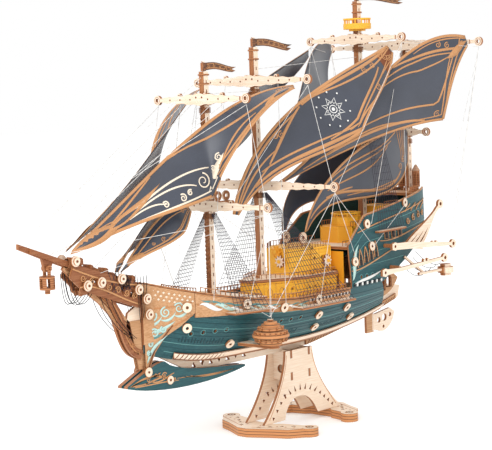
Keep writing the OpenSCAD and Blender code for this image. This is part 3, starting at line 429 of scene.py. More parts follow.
def leaf(bm, surface, route, width, mark=0, count=10):
    """Filled leaf along a curve, widest at its middle and pointed at its ends."""
    line = [surface.above(*curve([(*p, 0) for p in route], i / count)[:2]) for i in range(count + 1)]
    widths = [max(0.05, width * math.sin(math.pi * i / count)) for i in range(count + 1)]
    lay_line(bm, line, widths, mark)


def tangent_points(surface, centre, offsets):
    """Points at offsets in mm from a centre, in the plane that touches the surface there."""
    middle, out, along = surface.above(*centre)
    up = out.cross(along).normalized()
    if up.z < 0:
        up = -up
    return [middle + (along * u + up * v) * MM for u, v in offsets], out


def scroll(bm, surface, centre, radius, width, turns=1.4, start=0.0, hand=1, mark=0):
    """Spiral of a printed line, tightening to its middle."""
    count = int(16 * turns)
    offsets = []
    for i in range(count + 1):
        t = i / count
        angle = start + hand * t * turns * 2 * math.pi
        reach = radius * (1 - 0.8 * t)
        offsets.append((reach * math.cos(angle), reach * math.sin(angle)))
    points, out = tangent_points(surface, centre, offsets)
    widths = [width * (1 - 0.45 * i / count) for i in range(count + 1)]
    lay_strip(bm, points, [out] * (count + 1), widths, mark)


def outline(bm, surface, centre, offsets, width, mark=0):
    """Closed printed line through offsets round a centre."""
    points, out = tangent_points(surface, centre, list(offsets) + [offsets[0], offsets[1]])
    lay_strip(bm, points, [out] * len(points), [width] * len(points), mark)


def spot(bm, surface, centre, radius, mark=0, sides=10, squash=1.0, turn=0.0):
    """Filled round or many-sided spot."""
    made = bmesh.ops.create_circle(bm, cap_ends=True, segments=sides, radius=1.0)
    offsets = []
    for vert in made["verts"]:
        angle = math.atan2(vert.co.y, vert.co.x) + turn
        offsets.append((radius * math.cos(angle), radius * squash * math.sin(angle)))
    points, _ = tangent_points(surface, centre, offsets)
    for vert, point in zip(made["verts"], points):
        vert.co = point
    set_mark(made, mark)


def ring_offsets(radius, count=16, other=None):
    """Offsets round a circle, or round a star where every second point has the other radius."""
    offsets = []
    for i in range(count):
        reach = other if other and i % 2 else radius
        angle = 2 * math.pi * i / count
        offsets.append((reach * math.cos(angle), reach * math.sin(angle)))
    return offsets


def arch_offsets(half, sill, spring, shoulder, crown):
    """Offsets round an arched window, from its sill up to its crown."""
    out, up = shoulder
    return [(-half, sill), (half, sill), (half, spring), (out, up), (0, crown), (-out, up), (-half, spring)]


def patch(bm, surface, a0, a1, b0, b1, nx=2, ny=1, mark=0):
    """Filled patch between two values of each coordinate; b0 and b1 may be functions of the first."""
    made = bmesh.ops.create_grid(bm, x_segments=nx, y_segments=ny, size=0.5)
    for vert in made["verts"]:
        a = a0 + (a1 - a0) * (vert.co.x + 0.5)
        low = b0(a) if callable(b0) else b0
        high = b1(a) if callable(b1) else b1
        vert.co = surface.above(a, low + (high - low) * (vert.co.y + 0.5))[0]
    set_mark(made, mark)


def finish_piece(obj, body, replaces):
    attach(obj, body)
    if replaces:
        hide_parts(*replaces)
    return obj


def make_piece(name, bm, materials, body="ship", replaces=(), both=True, thick=None, smooth=True):
    """Turns a bmesh, mirrored to port where both is True, into a piece with its own wall thickness."""
    if both:
        bmesh.ops.mirror(bm, geom=bm.verts[:] + bm.edges[:] + bm.faces[:], axis="Y", merge_dist=-1.0)
    bmesh.ops.recalc_face_normals(bm, faces=bm.faces[:])
    mesh = bpy.data.meshes.new(name)
    bm.to_mesh(mesh)
    bm.free()
    mesh.polygons.foreach_set("use_smooth", [smooth] * len(mesh.polygons))
    for material in materials:
        mesh.materials.append(material)
    obj = bpy.data.objects.new(name, mesh)
    bpy.context.scene.collection.objects.link(obj)
    if thick:
        wall = obj.modifiers.new("Wall", "SOLIDIFY")
        wall.thickness = thick
        wall.offset = 0
    return finish_piece(obj, body, replaces)


def make_cords(name, runs, diameter, material, body="ship", replaces=(), sides=1):
    """Round cords along lists of points, made one mesh. sides is the curve's bevel resolution."""
    data = bpy.data.curves.new(name, "CURVE")
    data.dimensions = "3D"
    data.bevel_depth = diameter / 2
    data.bevel_resolution = sides
    data.use_fill_caps = True
    for run in runs:
        line = data.splines.new("POLY")
        line.points.add(len(run) - 1)
        for point, place in zip(line.points, run):
            point.co = (*place, 1)
    maker = bpy.data.objects.new(name + "_route", data)
    bpy.context.scene.collection.objects.link(maker)
    mesh = bpy.data.meshes.new_from_object(maker.evaluated_get(bpy.context.evaluated_depsgraph_get()))
    bpy.data.objects.remove(maker)
    bpy.data.curves.remove(data)
    mesh.name = name
    mesh.materials.clear()
    mesh.materials.append(material)
    obj = bpy.data.objects.new(name, mesh)
    bpy.context.scene.collection.objects.link(obj)
    return finish_piece(obj, body, replaces)


def mirrored(runs):
    """The runs and their twins on the port side."""
    return list(runs) + [[Vector((p.x, -p.y, p.z)) for p in run] for run in runs]


def coil(centre_line, radius, turns, steps=10):
    """Turns of a cord wound round a straight line between two points."""
    first, last = (Vector(p) for p in centre_line)
    axis = (last - first).normalized()
    side = axis.cross(Vector((0, 1, 0)) if abs(axis.y) < 0.9 else Vector((1, 0, 0))).normalized()
    other = axis.cross(side)
    count = int(turns * steps)
    return [first.lerp(last, i / count) + (side * math.cos(2 * math.pi * i / steps)
            + other * math.sin(2 * math.pi * i / steps)) * radius for i in range(count + 1)]


# ---- shape of the hull -------------------------------------------------------------------

def beam_at(x):
    if x < 60:
        return BEAM * (1 - ((60 - x) / 212) ** 2.6)
    return BEAM * math.sqrt(max(0, 1 - ((x - 60) / 230) ** 2.2))


def low_at(x):
    return 18 * ((-60 - x) / 92) ** 2 if x < -60 else 0.0007 * (x - 40) ** 2 if x > 40 else 0


def wale_at(x):
    return 54 + 12 * (x / 200) ** 2


def sheer_at(x):
    return 52 + (32 * ((20 - x) / 170) ** 1.6 if x < 20 else 0)


def rail_at(x):
    return 92 + (4 + 28 * (x - 103) / 32 if x < 135 else 32 + 20 * (x - 135) / 149)


def hull_y(x, z):
    rise = (z - low_at(x)) / (wale_at(x) - low_at(x))
    if rise < 1:
        return max(3.4, beam_at(x) * (0.3 + 0.7 * math.sin(math.radians(90 * max(0, rise)))))
    return max(3.4, beam_at(x) * (1 - 0.0018 * (z - wale_at(x))))


def hull_surface(out):
    """The outside of the planking, out mm proud of it."""
    return Surface(lambda x, z: at(x, hull_y(x, z) + out, z))


def board(y):
    """A flat board standing fore and aft, y mm from the centre plane."""
    return Surface(lambda x, z: at(x, y, z))


# ---- sails ------------------------------------------------------------------------------------

def sprit_z(x):
    return 133 - (x + 294) * 0.385


def sail_surface(head, tack, clew, upper_handles, foot_handles, leech_handles, corner, belly):
    """A curved sail: the first coordinate runs from tack to head, the second from the upper edge down."""
    upper = edge(tack, *upper_handles, head)
    foot = edge(tack, *foot_handles, clew)
    leech = edge(clew, *leech_handles, head)

    def place(s, t):
        s = min(0.99, max(0.01, s))
        low = curve(foot, s / corner) if s < corner else curve(leech, (s - corner) / (1 - corner))
        point = curve(upper, s).lerp(low, t)
        point.y += belly * 4 * t * (1 - t) * math.sin(math.pi * s)
        return at(*point)
    return Surface(place, True)


def make_sail(name, surface, draw):
    """The veneer of a pair of sails and the lines printed on the outer faces."""
    bm = bmesh.new()
    patch(bm, surface, 0.03, 0.97, 0.0, 1.0, 56, 14)
    make_piece(name + "_veneer", bm, [sail_veneer()], replaces=(name,), thick=sizes().sail)
    surface.lift = sizes().sail / 2 + sizes().print_lift / 2
    bm = bmesh.new()
    draw(bm, surface)
    make_piece(name + "_print", bm, [gold_print(), pale_print(), white_print(), char_mark(), sail_veneer()],
               thick=sizes().print_lift)
    return {"FINISHED"}


def hem(bm, surface, width, corner, mark=0, span=(0.03, 0.97)):
    """Gold edging along the upper edge, the foot and the leech of a sail."""
    first, last = span
    inset = 0.012

    def run(a, b, t):
        count = 40
        line = [surface.above(a + (b - a) * i / count, t) for i in range(count + 1)]
        lay_line(bm, line, width, mark)
    run(first, last, inset)
    run(first, corner, 1 - inset)
    run(corner, last, 1 - inset)


class SHIP_OT_jib_sails(bpy.types.Operator):
    """Makes the pair of small sails over the bow"""
    bl_idname = "ship.jib_sails"
    bl_label = "Jib sails"

    def execute(self, context):
        surface = sail_surface((FORE_X - 32, 8, 150), (-178, 2, sprit_z(-178) + 7), (-106, 18, 129),
                               ((28, 3, 26), (-38, -3, 13)), ((13, 12, 20), (-21, -1, -14)),
                               ((3, 2, 6), (-6, 3, -8)), 0.72, 2)

        def draw(bm, on):
            hem(bm, on, 2.2, 0.72)
            leaf(bm, on, [(0.03, 0.5), (0.1, 0.5), (0.2, 0.55), (0.3, 0.8)], 8)
            vein(bm, on, [(0.15, 0.6), (0.35, 0.2), (0.6, 0.15), (0.95, 0.3)], 1.3)
            vein(bm, on, [(0.2, 0.7), (0.5, 0.95), (0.75, 0.85), (0.96, 0.6)], 1.3)
            vein(bm, on, [(0.55, 0.8), (0.7, 0.75), (0.85, 0.7), (0.95, 0.4)], 1.0)
            for centre, radius, hand in [((0.5, 0.72), 2.6, 1), ((0.4, 0.6), 1.8, -1), ((0.86, 0.3), 2.4, 1)]:
                scroll(bm, on, centre, radius, 0.8, hand=hand)
        return make_sail("jib_sails", surface, draw)


class SHIP_OT_fore_sails(bpy.types.Operator):
    """Makes the pair of long sails from the bowsprit to the main yard"""
    bl_idname = "ship.fore_sails"
    bl_label = "Fore sails"

    def execute(self, context):
        surface = sail_surface((MAIN_X - 6, MAIN_YARD - 8, MAIN_YARD_Z - 6), (-241, 4, sprit_z(-241) + 6.6),
                               (-85, 38, 162), ((106, -1, 60), (-68, -49, 3)), ((55, 14, 24), (-53, -2, -11)),
                               ((-3, 24, 43), (-50, 1, -9)), 0.56, 5)

        def draw(bm, on):
            hem(bm, on, 3.0, 0.56)
            leaf(bm, on, [(0.0, 0.55), (0.08, 0.6), (0.12, 0.75), (0.2, 0.62)], 15)
            leaf(bm, on, [(0.1, 0.75), (0.18, 0.6), (0.22, 0.5), (0.36, 0.3)], 9)
            inset = Surface(on.place, True, on.lift + 0.2 * MM)
            leaf(bm, inset, [(0.03, 0.5), (0.08, 0.5), (0.11, 0.62), (0.15, 0.6)], 7, 4)
            leaf(bm, inset, [(0.16, 0.66), (0.19, 0.6), (0.21, 0.56), (0.26, 0.48)], 4, 4)
            vein(bm, on, [(0.97, 0.35), (0.82, 0.72), (0.68, 0.2), (0.42, 0.03)], 2.6)
            vein(bm, on, [(0.8, 0.66), (0.72, 0.5), (0.66, 0.68), (0.61, 0.8)], 2.0)
            vein(bm, on, [(0.96, 0.6), (0.85, 0.85), (0.74, 0.9), (0.61, 0.74)], 2.4)
            vein(bm, on, [(0.6, 0.85), (0.68, 0.97), (0.8, 0.94), (0.95, 0.75)], 1.6)
            vein(bm, on, [(0.22, 0.58), (0.29, 0.36), (0.42, 0.34), (0.56, 0.56)], 2.0, 1)
            vein(bm, on, [(0.22, 0.64), (0.31, 0.42), (0.42, 0.52), (0.49, 0.72)], 1.8, 1)
            vein(bm, on, [(0.22, 0.72), (0.28, 0.58), (0.33, 0.68), (0.36, 0.8)], 1.6, 1)
            vein(bm, on, [(0.24, 0.95), (0.34, 0.93), (0.46, 0.95), (0.6, 0.88)], 1.8, 1)
            vein(bm, on, [(0.16, 0.42), (0.2, 0.25), (0.26, 0.12), (0.34, 0.05)], 2.2)
            vein(bm, on, [(0.06, 0.2), (0.1, 0.02), (0.14, 0.3), (0.2, 0.46)], 1.2)
            leaf(bm, on, [(0.54, 0.9), (0.58, 0.7), (0.6, 0.72), (0.64, 0.66)], 7, 1)
            for centre, radius, start, hand in [((0.52, 0.7), 8, 1.2, -1), ((0.43, 0.82), 4, 2.0, -1),
                                                ((0.36, 0.8), 3.4, 2.4, -1), ((0.46, 0.78), 3, 0.6, 1),
                                                ((0.61, 0.6), 4, 0.4, 1), ((0.575, 0.64), 3.6, 3.4, -1)]:
                scroll(bm, on, centre, radius, 1.5, 1.5, start, hand, 1)
            for centre, radius, hand in [((0.085, 0.12), 3.4, 1), ((0.93, 0.25), 4, 1), ((0.9, 0.3), 3, -1)]:
                scroll(bm, on, centre, radius, 1.1, 1.4, 1.0, hand)
            leaf(bm, on, [(0.84, 0.7), (0.88, 0.6), (0.93, 0.6), (0.97, 0.5)], 9)
            leaf(bm, inset, [(0.88, 0.64), (0.9, 0.6), (0.93, 0.58), (0.95, 0.54)], 4, 4)
        return make_sail("fore_sails", surface, draw)


class SHIP_OT_main_sails(bpy.types.Operator):
    """Makes the pair of broad sails that carry a plain eight-pointed star"""
    bl_idname = "ship.main_sails"
    bl_label = "Main sails"

    def execute(self, context):
        surface = sail_surface((MIZZEN_X - 11, MIZZEN_YARD - 8, MIZZEN_YARD_Z - 7), (-32, 12, 130),
                               (98, 76, 217), ((-11, 28, 110), (-79, -5, -31)),
                               ((23, 30, 68), (-44, -10, -29)), ((11, 4, 31), (-10, 11, -35)), 0.66, 5)

        def draw(bm, on):
            hem(bm, on, 3.0, 0.66)
            vein(bm, on, [(0.97, 0.2), (0.85, 0.5), (0.68, 0.06), (0.5, 0.04)], 2.2)
            vein(bm, on, [(0.95, 0.1), (0.84, 0.2), (0.7, 0.02), (0.5, 0.05)], 3.6)
            vein(bm, on, [(0.86, 0.45), (0.8, 0.75), (0.62, 0.8), (0.5, 0.83)], 2.6)
            vein(bm, on, [(0.56, 0.8), (0.42, 0.72), (0.32, 0.75), (0.2, 0.5)], 2.2)
            vein(bm, on, [(0.66, 0.97), (0.5, 0.82), (0.4, 0.98), (0.14, 0.74)], 4.0)
            vein(bm, on, [(0.49, 0.05), (0.4, 0.14), (0.32, 0.3), (0.24, 0.52)], 3.0)
            vein(bm, on, [(0.46, 0.08), (0.34, 0.1), (0.22, 0.05), (0.06, 0.3)], 2.4)
            vein(bm, on, [(0.3, 0.36), (0.2, 0.3), (0.1, 0.3), (0.04, 0.6)], 2.0)
            vein(bm, on, [(0.24, 0.55), (0.18, 0.6), (0.12, 0.75), (0.04, 0.8)], 2.0)
            vein(bm, on, [(0.92, 0.6), (0.82, 0.8), (0.72, 0.86), (0.6, 0.86)], 1.6)
            vein(bm, on, [(0.93, 0.85), (0.88, 0.6), (0.8, 0.8), (0.64, 0.9)], 1.4)
            vein(bm, on, [(0.78, 0.97), (0.72, 0.9), (0.68, 0.86), (0.56, 0.82)], 1.8)
            for centre, radius, hand in [((0.36, 0.2), 4, 1), ((0.81, 0.84), 4, -1), ((0.8, 0.24), 4, 1),
                                         ((0.84, 0.26), 3.4, -1), ((0.34, 0.14), 2.6, -1)]:
                scroll(bm, on, centre, radius, 1.2, 1.4, 0.8, hand)
            patch(bm, on, 0.885, 0.965, 0.05, 0.95, 4, 6, 3)
            lifted = Surface(on.place, True, on.lift + 0.2 * MM)
            for k in range(4):
                scroll(bm, lifted, (0.905 + 0.012 * k, 0.2 + 0.19 * k), 4.4 - 0.4 * k, 1.1, 1.5, 1.5 * k, 1)
            middle = (0.585, 0.4)
            outline(bm, on, middle, ring_offsets(13, 16, 7.2), 0.9, 2)
            outline(bm, on, middle, ring_offsets(8.4, 24, 6.4), 0.7, 2)
            outline(bm, on, middle, ring_offsets(4.2, 16), 0.8, 2)
            spot(bm, on, middle, 2.0, 2)
            for u, v in ring_offsets(19, 10):
                dots(bm, on, middle, u, v, 1.0)
        return make_sail("main_sails", surface, draw)


def dots(bm, surface, centre, u, v, radius):
    """A round white dot at an offset from a centre."""
    made = bmesh.ops.create_circle(bm, cap_ends=True, segments=8, radius=1.0)
    points, _ = tangent_points(surface, centre, [(u + w.co.x * radius, v + w.co.y * radius)
                                                 for w in made["verts"]])
    for vert, point in zip(made["verts"], points):
        vert.co = point
    set_mark(made, 2)


class SHIP_OT_mizzen_sails(bpy.types.Operator):
    """Makes the pair of broad sails that reach up to the aftermost yard"""
    bl_idname = "ship.mizzen_sails"
    bl_label = "Mizzen sails"

    def execute(self, context):
        surface = sail_surface((JIGGER_X - 8, JIGGER_YARD - 7, JIGGER_YARD_Z + 3), (30, 8, 160),
                               (242, 72, 221), ((103, 18, 44), (-96, -26, 29)),
                               ((87, 16, 32), (-58, -24, -3)), ((-7, 14, 31), (-25, -4, -23)), 0.68, 5)

        def draw(bm, on):
            hem(bm, on, 3.0, 0.68)
            vein(bm, on, [(0.88, 0.55), (0.78, 0.15), (0.66, 0.12), (0.52, 0.06)], 1.8)
            vein(bm, on, [(0.84, 0.5), (0.74, 0.36), (0.66, 0.18), (0.5, 0.12)], 1.8)
            vein(bm, on, [(0.87, 0.6), (0.78, 0.95), (0.6, 0.72), (0.3, 0.42)], 2.2)
            vein(bm, on, [(0.85, 0.56), (0.78, 0.8), (0.72, 0.98), (0.58, 0.92)], 1.6)
            vein(bm, on, [(0.6, 0.96), (0.5, 0.85), (0.4, 0.8), (0.2, 0.6)], 3.6)
            vein(bm, on, [(0.5, 0.86), (0.4, 0.66), (0.3, 0.6), (0.12, 0.5)], 2.0)
            vein(bm, on, [(0.92, 0.56), (0.84, 0.25), (0.76, 0.14), (0.6, 0.03)], 3.0)
            vein(bm, on, [(0.91, 0.55), (0.93, 0.4), (0.93, 0.2), (0.95, 0.05)], 1.4)
            vein(bm, on, [(0.97, 0.2), (0.92, 0.12), (0.84, 0.05), (0.7, 0.06)], 1.4)
            vein(bm, on, [(0.92, 0.62), (0.86, 0.9), (0.8, 0.9), (0.74, 0.97)], 1.8)
            leaf(bm, on, [(0.97, 0.45), (0.92, 0.6), (0.88, 0.6), (0.83, 0.5)], 8)
            for centre, radius, hand in [((0.66, 0.9), 4.2, 1), ((0.86, 0.26), 3.4, 1),
                                         ((0.82, 0.15), 3.2, -1), ((0.94, 0.5), 3, 1)]:
                scroll(bm, on, centre, radius, 1.2, 1.4, 0.8, hand)
        return make_sail("mizzen_sails", surface, draw)


class SHIP_OT_jigger_sails(bpy.types.Operator):
    """Makes the pair of low sails beside the poop"""
    bl_idname = "ship.jigger_sails"
    bl_label = "Jigger sails"

    def execute(self, context):
        surface = sail_surface((JIGGER_X - 7, 6, JIGGER_LOW_Z + 4), (73, 14, 106.3),
                               (JIGGER_X - 8, 6, JIGGER_LOW_Z - 34), ((-3, 13, 68), (-70, 16, 6)),
                               ((29, 8, 69), (-52, 18, -66)), ((1, 0, 12), (0, 0, -12)), 0.8, 2)

        def draw(bm, on):
            hem(bm, on, 2.6, 0.8)
            vein(bm, on, [(0.85, 0.08), (0.72, 0.3), (0.5, 0.1), (0.32, 0.04)], 1.8)
            vein(bm, on, [(0.78, 0.22), (0.62, 0.3), (0.5, 0.2), (0.3, 0.14)], 1.8)
            vein(bm, on, [(0.74, 0.26), (0.62, 0.4), (0.46, 0.5), (0.28, 0.22)], 1.8)
            vein(bm, on, [(0.73, 0.86), (0.62, 0.98), (0.42, 0.9), (0.24, 0.4)], 3.4)
            vein(bm, on, [(0.4, 0.6), (0.3, 0.5), (0.2, 0.5), (0.1, 0.3)], 2.4)
            vein(bm, on, [(0.68, 0.9), (0.6, 0.8), (0.5, 0.85), (0.34, 0.8)], 1.6)
            for k in range(4):
                high = 0.87 + 0.025 * k
                vein(bm, on, [(high, 0.06), (high - 0.03, 0.3), (high - 0.05, 0.5),
                              (0.76 + 0.015 * k, 0.76)], 1.3)
            scroll(bm, on, (0.78, 0.78), 3.6, 1.3, 1.4, 0.6, 1)
            scroll(bm, on, (0.74, 0.8), 4.0, 1.3, 1.4, 2.6, -1)
        return make_sail("jigger_sails", surface, draw)


# ---- rigging, nets and lashings ----------------------------------------------------------------

def net_foot(x, z):
    return (x, hull_y(x, z) + CHANNEL_W - 1, z + 2.1)


class SHIP_OT_shroud_nets(bpy.types.Operator):
    """Knots the triangular shroud nets from the channels and the quarter rail to the masts"""
    bl_idname = "ship.shroud_nets"
    bl_label = "Shroud nets"

    def execute(self, context):
        nets = [((FORE_X + 2, MAST + 2, FORE_LOW_Z - 8), net_foot(-72, FORE_CHANNEL_Z),
                 net_foot(-33, FORE_CHANNEL_Z), 3, 9),
                ((MAIN_X + 4, MAST + 2, MAIN_LOW_Z - 8), net_foot(12, MAIN_CHANNEL_Z),
                 net_foot(92, MAIN_CHANNEL_Z), 3, 14),
                ((MIZZEN_X, MAST + 2, MIZZEN_YARD_Z - 30), (156, hull_y(156, 106) + 4, 108),
                 (206, hull_y(206, 106) + 4, 108), 3, 10)]
        runs = []
        for apex, first, last, half, count in nets:
            def knot(across, up):
                foot = Vector(first).lerp(Vector(last), across)
                head = Vector(apex) + Vector((half * (2 * across - 1), 0, 0))
                return at(*foot.lerp(head, up))
            for i in range(count + 1):
                runs.append([knot(i / count, 0), knot(i / count, 1)])
            up = 0.0
            while up < 0.93:
                runs.append([knot(0, up), knot(1, up)])
                up += 0.052 * (1 - 0.45 * up)
        make_cords("shroud_nets_cord", mirrored(runs), sizes().net_cord, net_cord(),
                   replaces=("shroud_nets",), sides=0)
        return {"FINISHED"}


class SHIP_OT_rigging(bpy.types.Operator):
    """Strings the taut white threads between spars, hull and turrets"""
    bl_idname = "ship.rigging"
    bl_label = "Rigging threads"

    def execute(self, context):
        def yard_end(x, half, z):
            return (x - MAST - SHEET / 2, half, z)
        centre_runs = [((-290, 0, sprit_z(-290) + 4), (FORE_X - MAST - 0.5, 0, FORE_TOP - 6)),
                       ((FORE_X + MAST, 0, FORE_TOP - 22), (MAIN_X - MAST, 0, MAIN_TOP - 44)),
                       ((MAIN_X + MAST, 0, MAIN_TOP - 22), (MIZZEN_X - MAST, 0, MIZZEN_TOP - 60))]
        fore_end = yard_end(FORE_X, FORE_YARD, FORE_YARD_Z - 6)
        fore_low_end = yard_end(FORE_X, FORE_LOW, FORE_LOW_Z - 6)
        main_end = yard_end(MAIN_X, MAIN_YARD, MAIN_YARD_Z - 6)
        main_low_end = yard_end(MAIN_X, MAIN_LOW, MAIN_LOW_Z - 6)
        mizzen_end = yard_end(MIZZEN_X, MIZZEN_YARD, MIZZEN_YARD_Z - 6)
        jigger_end = yard_end(JIGGER_X, JIGGER_YARD, JIGGER_YARD_Z - 6)
        turret_top = (TURRET[0], TURRET[1], TURRET[2] + 27)
        side_runs = [((-284, 2, sprit_z(-284) + 4), fore_end), ((-252, 4.6, sprit_z(-252) + 5), fore_low_end),
                     ((-270, 3, sprit_z(-270) + 4), yard_end(FORE_X, 28, FORE_YARD_Z - 6)),
                     ((-252, 4.6, sprit_z(-252) + 5), yard_end(FORE_X, 14, FORE_YARD_Z - 5)),
                     ((-206, 6, 100), fore_low_end), (fore_end, fore_low_end),
                     (yard_end(FORE_X, 28, FORE_YARD_Z - 3), (-88, hull_y(-88, 60) + 5, 62)),
                     (fore_low_end, (-51, hull_y(-51, 55) + 6, 56)), (fore_low_end, turret_top),
                     (fore_low_end, (TURRET[0] + 6, TURRET[1] - 4, TURRET[2] + 20)),
                     (main_end, main_low_end), (main_end, (FORE_X + 4, 30, FORE_LOW_Z + 6)),
                     (yard_end(MAIN_X, 36, MAIN_YARD_Z - 3), (-5, hull_y(-5, 47) + 6, 48)),
                     (main_low_end, (44, hull_y(44, 49) + 7, 50)), (main_low_end, turret_top),
                     (main_low_end, (110, hull_y(110, 79) + 4, 80)),
                     (main_low_end, (142, hull_y(142, 92) + 4, 92)),
                     (mizzen_end, main_low_end), (mizzen_end, (142, hull_y(142, 116) + 4, 116)),
                     (mizzen_end, (216, hull_y(216, 132) + 4, 132)), (mizzen_end, jigger_end),
                     (yard_end(MIZZEN_X, 34, MIZZEN_YARD_Z), yard_end(JIGGER_X, 50, JIGGER_YARD_Z)),
                     (jigger_end, (270, BOOM_Y, 83 + 5.3)), (jigger_end, (266, BOOM_Y, 83 + 5.3)),
                     (jigger_end, (244, BOOM_Y, 90)),
                     (turret_top, (-51, hull_y(-51, 55) + 6, 54)),
                     ((142, hull_y(142, 92) + 4, 92), (216, hull_y(216, 132) + 4, 132))]
        runs = [[at(*p), at(*q)] for p, q in centre_runs]
        runs += mirrored([[at(*p), at(*q)] for p, q in side_runs])
        make_cords("rigging_threads", runs, sizes().thread, white_thread(),
                   replaces=("rigging",))
        return {"FINISHED"}


class SHIP_OT_lashings(bpy.types.Operator):
    """Winds brown cord where yards cross masts, along the mast edges and on the bowsprit"""
    bl_idname = "ship.lashings"
    bl_label = "Lashings"

    def execute(self, context):
        runs = []
        for x, z in [(FORE_X, FORE_YARD_Z), (FORE_X, FORE_LOW_Z), (MAIN_X, MAIN_YARD_Z), (MAIN_X, MAIN_LOW_Z),
                     (MIZZEN_X, MIZZEN_YARD_Z), (JIGGER_X, JIGGER_YARD_Z), (JIGGER_X, JIGGER_LOW_Z)]:
            front, back = x - MAST - SHEET - 0.7, x + MAST + 0.7
            for k in (-1, 0, 1):
                for lean in (-1, 1):
                    a, b = z + 4.6 * lean + k * 0.9, z - 4.6 * lean + k * 0.9
                    runs.append([at(front, -4.2, a), at(front, 4.2, b), at(back, 4.2, b), at(back, -4.2, a),
                                 at(front, -4.2, a)])
            for k in range(5):
                h = z - 8.5 - 1.1 * k
                s = MAST + 0.7
                corners = [(-1, -1), (1, -1), (1, 1), (-1, 1), (-1, -1)]
                runs.append([at(x + u * s, v * s, h) for u, v in corners])
        for low, high in ((FORE_LOW_Z + 6, FORE_YARD_Z - 14), (62, FORE_LOW_Z - 14)):
            turns = (high - low) / 4.4
            front = FORE_X - MAST - 0.4
            runs.append(coil((at(front, 0, low), at(front, 0, high)), 2.2 * MM, turns))
            runs.append(coil((at(front, 0, low + 2.2), at(front, 0, high)), 2.2 * MM, turns, 9))
        for x in (-240, -214, -190, -172):
            z = sprit_z(x)
            runs.append(coil((at(x, 0, z), at(x + 9, 0, z - 3.4)), 5.6 * MM, 7, 12))
        make_cords("lashing_cords", runs, sizes().lashing, brown_cord())
        return {"FINISHED"}


class SHIP_OT_bow_cords(bpy.types.Operator):
    """Ties the black cords under the bowsprit and round the cutwater"""
    bl_idname = "ship.bow_cords"
    bl_label = "Bow cords"

    def execute(self, context):
        def loop(points, count=14):
            return [at(*curve(points, i / count)) for i in range(count + 1)]
        runs = []
        for k in range(3):
            runs.append(loop(edge((-244 + 3 * k, 3 + k, 104), (2, 0, -26), (-16, 0, -20),
                                  (-222 + 4 * k, 6, 84))))
            runs.append(loop(edge((-206 + 6 * k, 6, 83), (6, 0, -30), (-8, 0, 6), (-168 + 3 * k, 6, 34))))
        for k in range(4):
            x = -160 + 4 * k
            runs.append(loop(edge((x, 7.6, 92), (1, 1, -14), (-3, 1, 12), (x + 3 - 2 * k, 7, 48 + 2 * k))))
        for k in range(5):
            x = -187 + 3.5 * k
            runs.append(loop(edge((x, 8, 100 - k), (2, 1, -16), (-4, 1, -15), (x + 12 - 2 * k, 8, 96 - k))))
        make_cords("bow_cords", mirrored(runs), sizes().lashing * 0.7, black_cord())
        net = []
        for k in range(6):
            u = -196 + 5 * k
            net.append([at(u, 7.4, 101 - 2 * k), at(u + 9, 7.4, 80)])
            net.append([at(u + 10, 7.4, 99 - 2 * k), at(u - 1, 7.4, 80)])
        make_cords("bow_netting", mirrored(net), sizes().net_cord, net_cord(), sides=0)
        aft = []
        for k in range(4):
            x = 206 + 9 * k
            aft.append(loop(edge((x, hull_y(x, 62 + 5 * k) + 1.4, 62 + 5 * k), (6, 8, -14), (-8, 4, -6),
                                 (x + 22, BOOM_Y - 6, 58 + 2 * k))))
        make_cords("stern_cords", mirrored(aft), sizes().lashing * 0.7, black_cord())
        return {"FINISHED"}


# ---- hull ornament --------------------------------------------------------------------------------

def plank_line(on, share):
    """Places along a plank's edge, a share of the way up the teal side."""
    count = 60
    first, last = STEM_X + 3, 199 - 40 * share
    line = []
    for i in range(count + 1):
        x = first + (last - first) * i / count
        line.append(on.above(x, low_at(x) + (sheer_at(x) - low_at(x)) * share))
    return line


def disc(bm, x, y, z, radius, depth, mark=0, segments=24):
    """Flat round disc that faces the side, centred on a point given in mm."""
    made = bmesh.ops.create_cone(bm, cap_ends=True, segments=segments, radius1=1.0, radius2=1.0, depth=1.0)
    for vert in made["verts"]:
        vert.co = at(x + vert.co.x * radius, y + vert.co.z * depth, z + vert.co.y * radius)
    set_mark(made, mark)


class SHIP_OT_planking_lines(bpy.types.Operator):
    """Scores the plank lines, port rims and rows of small ribs on the teal sides"""
    bl_idname = "ship.planking_lines"
    bl_label = "Planking lines"

    def execute(self, context):
        lift = sizes().print_lift / 2 / MM
        on = hull_surface(lift)
        bm = bmesh.new()
        for share in (0.1, 0.24, 0.5, 0.76):
            lay_line(bm, plank_line(on, share), 0.8)
        for x in [-104.6 + 12.4 * k for k in range(4)] + [0.3 + 14 * k for k in range(3)]:
            outline(bm, on, (x, 31.2), ring_offsets(2.6, 16), 0.7)
        for x in [120 + 10 * k for k in range(4)]:
            outline(bm, on, (x, 62), ring_offsets(2.6, 16), 0.7)
        make_piece("planking_lines", bm, [teal_line_print()], thick=sizes().print_lift)
        bm = bmesh.new()
        for share in (0.05, 0.17, 0.31, 0.38, 0.44, 0.58, 0.66, 0.86):
            lay_line(bm, plank_line(on, share), 0.45)
        for start, stop in ((-116, -62), (-22, 36), (64, 112)):
            for k in range(int((stop - start) / 3.4)):
                x = start + 3.4 * k
                base = low_at(x) + (sheer_at(x) - low_at(x)) * 0.27
                patch(bm, on, x, x + 1.3, base, base + (5 if k % 3 else 3.2), 1, 2)
        make_piece("planking_seams", bm, [print_finish("dark teal scored seam", "teal_deep", 0.6)],
                   thick=sizes().print_lift)
        bm = bmesh.new()
        for k in range(5):
            share = 0.12 + 0.17 * k
            def rise(x):
                return 52 + (rail_at(x) - 52) * share
            count = 36
            line = []
            stop = {0: 168, 1: 206, 2: 246}.get(k, 279)
            for i in range(count + 1):
                x = 105 + (stop - 105) * i / count
                line.append(on.above(x, rise(x)))
            lay_line(bm, line, 0.6)
        make_piece("quarter_lines", bm, [teal_line_print()], thick=sizes().print_lift)
        return {"FINISHED"}


